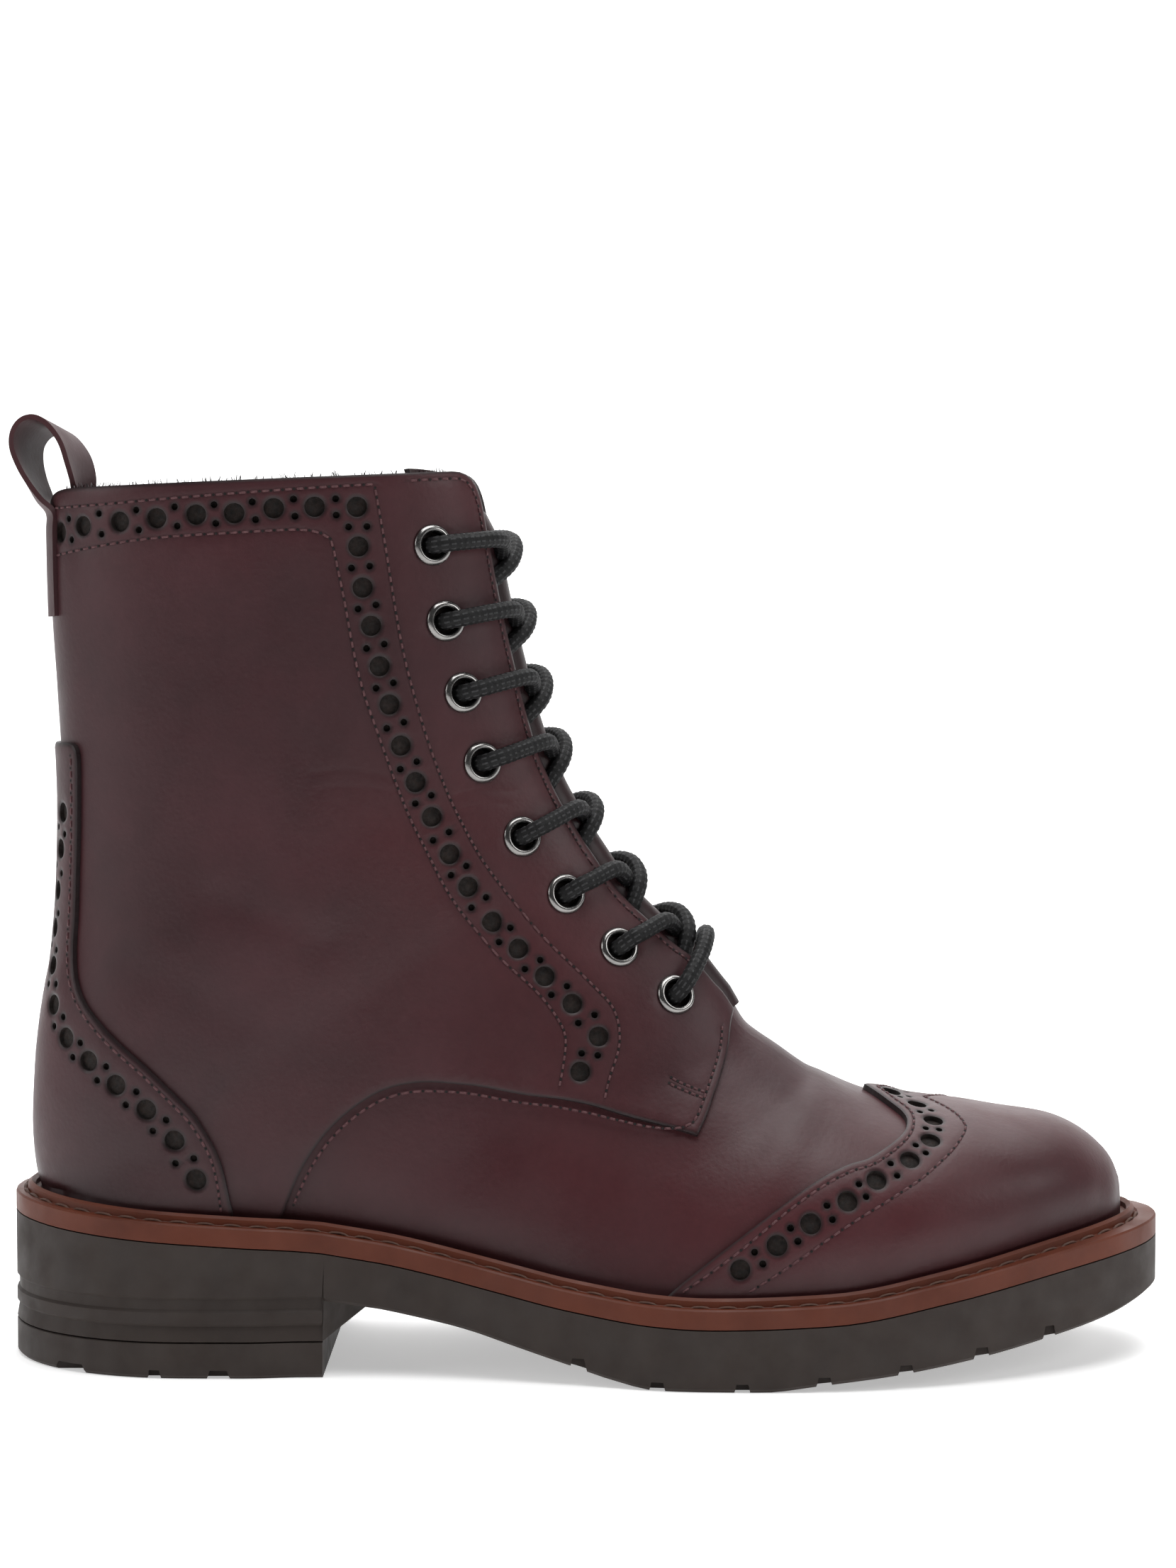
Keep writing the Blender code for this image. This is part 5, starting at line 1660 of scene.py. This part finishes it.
SIDES = ((OUTER, "outer"), (INNER, "inner"))
quarter, quarter_lines = quarter_pattern()
for side, word in SIDES:
    piece = dress(f"quarter_leather_{word}", quarter, [side], 0.0, STACK, [PANEL, CUT_EDGE, HOLE])
    finish_piece(piece, "panel_leather", f"quarter_{word}")
    piece = thread(
        f"quarter_stitches_{word}", quarter_lines, [side], STACK - 0.00008, THREAD, NEEDLE_HOLE_SHADE
    )
    finish_piece(piece, "panel_leather")

counter, counter_lines = counter_pattern()
piece = dress(
    "counter_leather", counter, [OUTER, INNER], STACK, 2 * STACK - 0.0002, [PANEL, CUT_EDGE, HOLE]
)
finish_piece(piece, "panel_leather", "heel_counter")
piece = thread(
    "counter_stitches", counter_lines, [OUTER, INNER], 2 * STACK - 0.0003, THREAD, NEEDLE_HOLE_SHADE
)
finish_piece(piece, "panel_leather")

wing, wing_lines = wing_pattern()
piece = dress("wing_leather", wing, [OUTER, INNER], 0.0, STACK, [PANEL, CUT_EDGE, HOLE])
finish_piece(piece, "panel_leather", "wing_cap")
piece = thread("wing_stitches", wing_lines, [OUTER, INNER], STACK - 0.00008, THREAD, NEEDLE_HOLE_SHADE)
finish_piece(piece, "panel_leather")


def shell(name, patches, low, high, materials, rims, folds=(), crown=0.0):
    """Leather sheet between two offsets over grids of (rows, first v, last v, columns, side)."""
    verts, faces, slots, shade = [], [], [], []
    base = 0
    for rows, start, stop, columns, side in patches:
        row = np.repeat(rows, columns + 1)
        v = np.concatenate([np.linspace(start(r), stop(r), columns + 1) for r in rows])
        row = row + dip(v) * np.clip(1 - row / 1.5, 0, 1) * (row >= 0)
        dent = np.zeros(len(row))
        if folds:
            flat = to_plane(np.stack([row, v], axis=1))
            for path, depth, wide in folds:
                dent += depth * np.exp(-((from_lines(flat, [path]) / wide) ** 2))
        puff = 0.0
        if crown:
            edge = np.array([upper_edge(max(r, 0)) for r in row])
            puff = crown * np.clip(1 - (v / edge) ** 2, 0, 1) * np.clip((row + 0.2) / 0.8, 0, 1)
            puff = puff - 0.0075 * np.clip(1 - row / 1.3, 0, 1) ** 2
        top, foot = place(row, v, side, high - dent + puff), place(row, v, side, low + puff)
        out = facing(row, v, side)
        count, wide = len(row), columns + 1
        i, j = (
            g.ravel()
            for g in np.meshgrid(np.arange(len(rows) - 1), np.arange(columns), indexing="ij")
        )
        quads = np.stack(
            [i * wide + j, (i + 1) * wide + j, (i + 1) * wide + j + 1, i * wide + j + 1], axis=1
        )
        turn = np.cross(top[quads[:, 1]] - top[quads[:, 0]], top[quads[:, 3]] - top[quads[:, 0]])
        flip = (turn * out[quads[:, 0]]).sum() < 0
        verts += [top, foot]
        shade += [welt_shade(row, v), np.zeros(count)]
        outer_faces = quads[:, ::-1] if flip else quads
        faces += [list(f + base) for f in outer_faces]
        slots += [0] * len(quads)
        faces += [list(f[::-1] + base + count) for f in outer_faces]
        slots += [1] * len(quads)
        edges = []
        if "collar" in rims:
            edges += [(k, k + 1) for k in range(columns)]
        if "throat" in rims and start(rows[0]) > 0:
            edges += [((k + 1) * wide, k * wide) for k in range(len(rows) - 1)]
        if "sides" in rims:
            edges += [(k * wide + columns, (k + 1) * wide + columns) for k in range(len(rows) - 1)]
        for a, b in edges:
            quad = [base + a, base + b, base + b + count, base + a + count]
            faces.append(quad[::-1] if not flip else quad)
            slots.append(2)
        base += 2 * count
    return build_mesh(
        name, np.vstack(verts), faces, slots, materials, np.concatenate(shade), 1e-5, angle=60
    )


VAMP_FOLDS = (
    (((1000, 1620), (1060, 1600), (1110, 1560), (1140, 1520)), 0.00022, 0.0060),
    (((930, 1640), (1000, 1650), (1060, 1630)), 0.00015, 0.0050),
)


def collar_edge(row):
    """Throat's edge with the rounded front corner at the collar."""
    return upper_edge(row) + 0.088 * max(1 - row / 0.68, 0.0) ** 2


fine_rows = np.unique(
    np.concatenate([np.arange(0, 0.75, 0.1), np.arange(0.75, THROAT_END, 0.25), [THROAT_END]])
)
fore_rows = np.unique(np.concatenate([np.arange(THROAT_END, TIP, 0.125), [TIP]]))
upper_patches = []
for side, word in SIDES:
    upper_patches.append((fine_rows, collar_edge, lambda r: TUCK, 40, side))
    upper_patches.append((fore_rows, upper_edge, lambda r: TUCK, 44, side))
    upper_patches.append((fore_rows, lambda r: 0.0, upper_edge, 10, side))
folds = [(flat_line(path, height=0.0), depth, wide) for path, depth, wide in VAMP_FOLDS]
piece = shell(
    "upper_leather", upper_patches, -WALL, 0.0, [LEATHER, LINING, LINING], ("collar", "throat"),
    folds,
)
finish_piece(piece, "burgundy_leather", "upper")

tongue_rows = np.unique(np.concatenate([np.arange(-0.10, THROAT_END, 0.25), [THROAT_END]]))


def tongue_side(row):
    edge = upper_edge(max(row, 0))
    return edge + (1 - edge) / 7


tongue_patches = [(tongue_rows, lambda r: 0.0, tongue_side, 24, side) for side, word in SIDES]
# The tongue takes the darkened leather, which is painted shade.
piece = shell(
    "tongue_leather", tongue_patches, -(WALL + CLEARANCE + TONGUE_WALL), -(WALL + CLEARANCE),
    [TONGUE_SHADED_LEATHER, LINING, CUT_EDGE], ("collar", "sides"), crown=0.0036,
)
finish_piece(piece, "burgundy_leather", "tongue")


# Sole, heel lift, welt and insole, from the part's own rules with finer stations.
def smooth_shade(obj, angle=32):
    obj.data.polygons.foreach_set("use_smooth", np.ones(len(obj.data.polygons), bool))
    obj.data.set_sharp_from_angle(angle=math.radians(angle))
    return obj


for rule, material, name, slot, node_name in (
    (build_sole, RUBBER, "sole_unit", "dark_rubber", "outsole"),
    (build_lift, RUBBER, "heel_top_piece", "dark_rubber", "heel_lift"),
    (build_welt, WELT, "welt_strip", "brown_welt", "welt"),
    (build_insole, INSOLE, "insole_board", "insole_leather", "insole"),
):
    made = rule(material)
    made.name = name
    made.data.name = name
    finish_piece(smooth_shade(made), slot, node_name)


# Welt stitch in metres: pitch, thread radius and the lift of its points over the welt.
WELT_PITCH = 0.0062
WELT_THREAD_RADIUS = 0.00042
WELT_LIFTS = (-0.0004, 0.00010, 0.00022, 0.00022, 0.00010, -0.0004)


def welt_stitches():
    verts, faces = [], []
    for side in (OUTER, INNER):
        shares = np.linspace(0.0, 1.0, 500)
        path = []
        for s in shares:
            bead = STACK * eased(WELT_PATH, s)[0] + BEAD_GAP + BEAD_WIDTH * 1.25
            x, y = edge_point(s, side, bead)
            path.append((x, y, sole_top(s) + CLEARANCE + WELT_THICKNESS))
        path = resample(path, WELT_PITCH / len(WELT_LIFTS))
        for k in range(0, len(path) - len(WELT_LIFTS), len(WELT_LIFTS)):
            part = path[k : k + len(WELT_LIFTS)]
            start = len(verts)
            run = part[-1] - part[0]
            run /= max(np.linalg.norm(run), 1e-9)
            across = np.cross((0, 0, 1), run)
            for point, lift in zip(part, WELT_LIFTS):
                for m in range(THREAD_SIDES):
                    turn = 2 * math.pi * m / THREAD_SIDES
                    up = np.array((0, 0, lift + WELT_THREAD_RADIUS * 0.8 * math.sin(turn)))
                    verts.append(point + up + across * WELT_THREAD_RADIUS * math.cos(turn))
            faces += tube_faces(start, len(WELT_LIFTS), THREAD_SIDES)
    return build_mesh(
        "welt_stitches", np.array(verts), faces, [0] * len(faces), [WELT_THREAD], angle=80
    )


finish_piece(welt_stitches(), "brown_welt")

# Eyelets.
RING_PROFILE = (
    (0.0030, -0.0030), (0.0030, 0.0002), (0.0031, 0.00055), (0.0034, 0.00085), (0.0038, 0.00092),
    (0.0042, 0.00080), (0.0046, 0.00045), (0.0048, 0.00008), (0.0048, -0.0002), (0.0036, -0.0002),
    (0.0036, -0.0030),
)


def eyelet_ring(name, side, place_at):
    row, v = place_at
    centre = Vector(place(row, v, side, STACK)[0])
    axis = Vector(facing(row, v, side)[0])
    points, faces = lathe([(r, h) for r, h in RING_PROFILE], centre, axis, 40)
    obj = closed_mesh(name, [tuple(p) for p in points], faces, NICKEL)
    return smooth_shade(obj, 50)


for side, word in SIDES:
    for k, spot in enumerate(EYELET_PLACES):
        ring = eyelet_ring(f"eyelet_ring_{word}_{k + 1}", side, spot)
        finish_piece(ring, "dark_nickel", f"eyelet_{word}_{k + 1}")


# Laces: braided round cord.
def curve(points, parts):
    """Smooth curve through points, which may be rows of points, each span cut into parts."""
    points = np.asarray(points, float)
    first, last = 2 * points[:1] - points[1:2], 2 * points[-1:] - points[-2:-1]
    points = np.concatenate([first, points, last])
    made = []
    for a, b, c, d in zip(points, points[1:], points[2:], points[3:]):
        for t in np.linspace(0, 1, parts, endpoint=False):
            square = (2 * a - 5 * b + 4 * c - d) * t**2
            made.append(0.5 * (2 * b + (c - a) * t + square + (3 * b - a - 3 * c + d) * t**3))
    made.append(points[-2])
    return np.array(made)


# Braid of the cord: step along it, length of one turn, height of its crests as a share of the
# radius, strands each way, points round it, and the share of a crest that gets the painted glint.
BRAID_STEP = 0.0005
BRAID_TURN = 0.0032
BRAID_DEPTH = 0.085
BRAID_STRANDS = 5
BRAID_SIDES = 30
GLINT_FROM = 0.42


def weave(turn, step):
    """Height of the braid from -1 to 1 at an angle and a number of steps along."""
    s = step * BRAID_STEP / BRAID_TURN * 2 * math.pi
    return math.sin(BRAID_STRANDS * turn + s) * math.sin(BRAID_STRANDS * turn - s)


def braid(name, paths, radius, material):
    """Round cord along each path, with the crests of its braid and a painted glint on their tops.
    """
    verts, faces, slots = [], [], []
    for path in paths:
        line = resample(curve(path, 12), BRAID_STEP)
        run = np.gradient(line, axis=0)
        run /= np.linalg.norm(run, axis=1, keepdims=True)
        across = np.cross(run[0], (0.3, 1.0, 0.2))
        start = len(verts)
        for k, (point, ahead) in enumerate(zip(line, run)):
            across = across - ahead * across.dot(ahead)
            across /= np.linalg.norm(across)
            other = np.cross(ahead, across)
            for m in range(BRAID_SIDES):
                turn = 2 * math.pi * m / BRAID_SIDES
                size = radius * (0.965 + BRAID_DEPTH * weave(turn, k))
                verts.append(point + (across * math.cos(turn) + other * math.sin(turn)) * size)
        faces += tube_faces(start, len(line), BRAID_SIDES)
        # Faces high on the crests take the lighter material, a painted glint.
        for k in range(len(line) - 1):
            for m in range(BRAID_SIDES):
                turn = 2 * math.pi * (m + 0.5) / BRAID_SIDES
                slots.append(1 if weave(turn, k + 0.5) > GLINT_FROM else 0)
        last = start + (len(line) - 1) * BRAID_SIDES
        faces.append([start + m for m in reversed(range(BRAID_SIDES))])
        faces.append([last + m for m in range(BRAID_SIDES)])
        slots += [0, 0]
    return build_mesh(name, np.array(verts), faces, slots, [material, CORD_GLINT], angle=70)


LACE_RADIUS = LACE_DIAMETER / 2 + 0.00012
TOP = STACK + 0.0009 + LACE_RADIUS
# Strand of a crossing: share of the way to the next row, place across as a share of half the gap,
# height over the form in metres; the near (outer) and the far (inner) strand differ at the middle.
NEAR = (
    (0.02, -1.60, TOP), (0.04, -1.20, TOP), (0.08, -0.88, TOP - 0.0006), (0.16, -0.58, 0.0026),
    (0.27, -0.28, 0.0012), (0.42, 0.15, 0.0000), (0.58, 0.70, -0.0012), (0.75, 1.20, -0.0018),
)
FAR = (
    (0.02, -1.60, TOP), (0.03, -1.20, TOP), (0.07, -0.80, TOP + 0.0003), (0.15, -0.40, 0.0048),
    (0.28, 0.00, 0.0042), (0.42, 0.36, 0.0028), (0.56, 0.76, 0.0002), (0.68, 1.15, -0.0018),
)


def strand(k, side, table):
    (row, v), (below, _) = EYELET_PLACES[k], EYELET_PLACES[k + 1]
    centre, out = place(row, v, side, 0)[0], facing(row, v, side)[0]
    path = [centre - out * 0.003, centre + out * (STACK + 0.0002)]
    inward = place(row, v - 0.018, side, TOP)[0]
    path.append(inward)
    for down, across, height in table:
        at = row + (below - row) * down
        y = side * abs(across) * gap_at(at) / 2 * (1 if across < 0 else -1)
        path.append(np.array(over(float(at), float(y), height)))
    return path


for k in range(EYELETS - 1):
    cord = braid(
        f"lace_cross_{k + 1}", [strand(k, OUTER, NEAR), strand(k, INNER, FAR)], LACE_RADIUS, CORD
    )
    finish_piece(cord, "waxed_cord", f"lace_crossing_{k + 1}")


def bar_path():
    row, v = EYELET_PLACES[-1]
    ends = []
    for side in (OUTER, INNER):
        centre, out = place(row, v, side, 0)[0], facing(row, v, side)[0]
        ends.append(
            [
                centre - out * 0.003,
                centre + out * (STACK + 0.0002),
                place(row - 0.1, v - 0.02, side, TOP)[0],
            ]
        )
    half = gap_at(row) / 2
    across = [np.array(over(float(row - lift), float(y), height)) for lift, y, height in (
        (0.35, -half * 1.1, TOP), (0.5, -half * 0.4, TOP + 0.0004), (0.5, half * 0.4, TOP + 0.0004),
        (0.35, half * 1.1, TOP),
    )]
    return [*ends[0], *across, *ends[1][::-1]]


finish_piece(braid("lace_bar_cord", [bar_path()], LACE_RADIUS, CORD), "waxed_cord", "lace_bar")


# Pull loop.
def loop_grid():
    across = [LOOP_WIDTH * share for share in np.linspace(-0.5, 0.5, 9)]

    def wrapped(row, height):
        line = []
        for y in across:
            side = OUTER if y < 0 else INNER
            v = 0.5 + math.acos(min(abs(y) / half_width(row, side), 1.0)) / math.pi
            line.append(form(row, v, side) + normal(row, v, side) * height)
        return line

    inner = -(WALL + 3 * CLEARANCE + LOOP_THICKNESS / 2)
    outer = STACK - 0.0002 + LOOP_THICKNESS / 2
    grid = [wrapped(row, inner) for row in (0.75, 0.4, 0.12)]
    collar = wrapped(0.0, 0.0)
    mid = collar[len(across) // 2]
    for x, z, bow, turn in STRAP_LINE:
        grid.append([
            Vector(
                (
                    x + LAST_BACK - 0.0094 + (p.x - mid.x) * bow + 0.24 * y * turn,
                    y,
                    z - 0.18 * y * turn,
                )
            )
            for y, p in zip(across, collar)
        ])
    return grid + [wrapped(row, outer) for row in (0.22, 0.4, 0.8, 1.2)]


# Middle line of the strap over the collar: place from the heel's back, height, share of the
# shaft's round that it keeps, and share of its full turn to the near side.
STRAP_LINE = (
    (0.0158, 0.2065, 0.6, 0.5), (0.0158, 0.2108, 0.4, 0.9), (0.0148, 0.2158, 0.2, 1.0),
    (0.0123, 0.2199, 0.0, 1.0), (0.0092, 0.2216, 0.0, 1.0), (0.0062, 0.2209, 0.0, 1.0),
    (0.0042, 0.2182, 0.0, 1.0), (0.0037, 0.2144, 0.1, 1.0), (0.0044, 0.2103, 0.3, 0.8),
    (0.0056, 0.2068, 0.5, 0.5), (0.0068, 0.2038, 0.8, 0.1),
)


def loop_piece():
    lines = curve([[tuple(p) for p in line] for line in loop_grid()], 6)
    made = sheet("pull_strap", [[Vector(p) for p in line] for line in lines], LOOP_THICKNESS, STRAP)
    return smooth_shade(made, 50)


finish_piece(loop_piece(), "loop_leather", "pull_loop")


# Fibres on the collar's raw edge: how many a side, and their range of length and thickness.
FIBRES = 170
FIBRE_LENGTH = (0.0005, 0.0014)
FIBRE_RADIUS = (0.00007, 0.00020)


def collar_fuzz():
    """Small upright fibres of raw leather along the collar."""
    chance = np.random.default_rng(7)
    verts, faces = [], []
    for side in (OUTER, INNER):
        for _ in range(FIBRES):
            v = chance.uniform(upper_edge(0) + 0.09, 0.99)
            root = place(float(dip(v)), v, side, chance.uniform(-0.0018, -0.0002))[0]
            lean = np.array([chance.normal(0, 0.5), chance.normal(0, 0.4), 1.0])
            tip = root + lean / np.linalg.norm(lean) * chance.uniform(*FIBRE_LENGTH)
            size = chance.uniform(*FIBRE_RADIUS)
            start = len(verts)
            for end, scale in ((root - (0, 0, 0.0004), 1.0), (tip, 0.5)):
                for m in range(3):
                    turn = 2 * math.pi * m / 3
                    verts.append(end + np.array([math.cos(turn), math.sin(turn), 0]) * size * scale)
            faces += [
                [start + m, start + (m + 1) % 3, start + 3 + (m + 1) % 3, start + 3 + m]
                for m in range(3)
            ]
            faces.append([start + 3, start + 4, start + 5])
    return build_mesh(
        "collar_fibres", np.array(verts), faces, [0] * len(faces), [CUT_EDGE], angle=80
    )


finish_piece(collar_fuzz(), "burgundy_leather")


# Floor, lights and camera.
def backdrop():
    """Floor that sweeps up behind the boot."""
    bend = np.linspace(0.1, math.pi / 2, 14)
    profile = [(-1.2, 0.0), (0.75, 0.0)]
    profile += [(0.75 + 0.5 * math.sin(t), 0.5 - 0.5 * math.cos(t)) for t in bend]
    profile.append((1.25, 2.6))
    verts = [(x, y, z) for y, z in profile for x in (-2.2, 2.4)]
    faces = [[2 * k, 2 * k + 1, 2 * k + 3, 2 * k + 2] for k in range(len(profile) - 1)]
    obj = build_mesh("studio_sweep", np.array(verts), faces, [0] * len(faces), [FLOOR], angle=60)


backdrop()


def area(name, at, aim, power, size, colour=(1, 1, 1)):
    light = bpy.data.lights.new(name, "AREA")
    light.energy, light.size, light.color = power, size, colour
    obj = bpy.data.objects.new(name, light)
    obj.location = at
    obj.rotation_euler = (Vector(aim) - Vector(at)).to_track_quat("-Z", "Y").to_euler()
    bpy.context.scene.collection.objects.link(obj)


area("key_above", (0.20, -0.20, 1.15), (0.10, 0.0, 0.06), 8.5, 0.8)
area("front_left", (-0.95, -0.30, 0.50), (0.02, 0.0, 0.10), 2.6, 0.5)
area("front_right", (1.10, -0.40, 0.62), (0.12, 0.0, 0.10), 2.8, 0.5)
area("back_wash", (0.1, 0.9, 1.3), (0.1, 1.2, 0.3), 16.0, 1.4)
world = bpy.data.worlds.new("studio")
world.use_nodes = True
# Soft light all round, and white where the camera sees past the sweep.
soft = world.node_tree.nodes["Background"]
soft.inputs["Color"].default_value = (1, 1, 1, 1)
soft.inputs["Strength"].default_value = 0.08
seen = world.node_tree.nodes.new("ShaderNodeBackground")
seen.inputs["Color"].default_value = (1, 1, 1, 1)
blend = world.node_tree.nodes.new("ShaderNodeMixShader")
ray = world.node_tree.nodes.new("ShaderNodeLightPath")
for output, socket in (
    (ray.outputs["Is Camera Ray"], blend.inputs[0]),
    (soft.outputs[0], blend.inputs[1]),
    (seen.outputs[0], blend.inputs[2]),
    (blend.outputs[0], world.node_tree.nodes["World Output"].inputs[0]),
):
    world.node_tree.links.new(output, socket)
bpy.context.scene.world = world

camera = bpy.data.cameras.new("photo_camera")
# FOCAL is in pixels of the photograph, which is 2212 high.
SENSOR = 36
camera.lens = FOCAL * SENSOR / 2212
camera.sensor_width = SENSOR
camera.clip_start = 0.01
eye = bpy.data.objects.new("photo_camera", camera)
eye.location = tuple(EYE)
eye.rotation_euler = (math.pi / 2 - PITCH, 0, 0)
bpy.context.scene.collection.objects.link(eye)
bpy.context.scene.camera = eye
bpy.context.scene.view_settings.view_transform = "Standard"
bpy.context.scene.view_settings.look = "None"
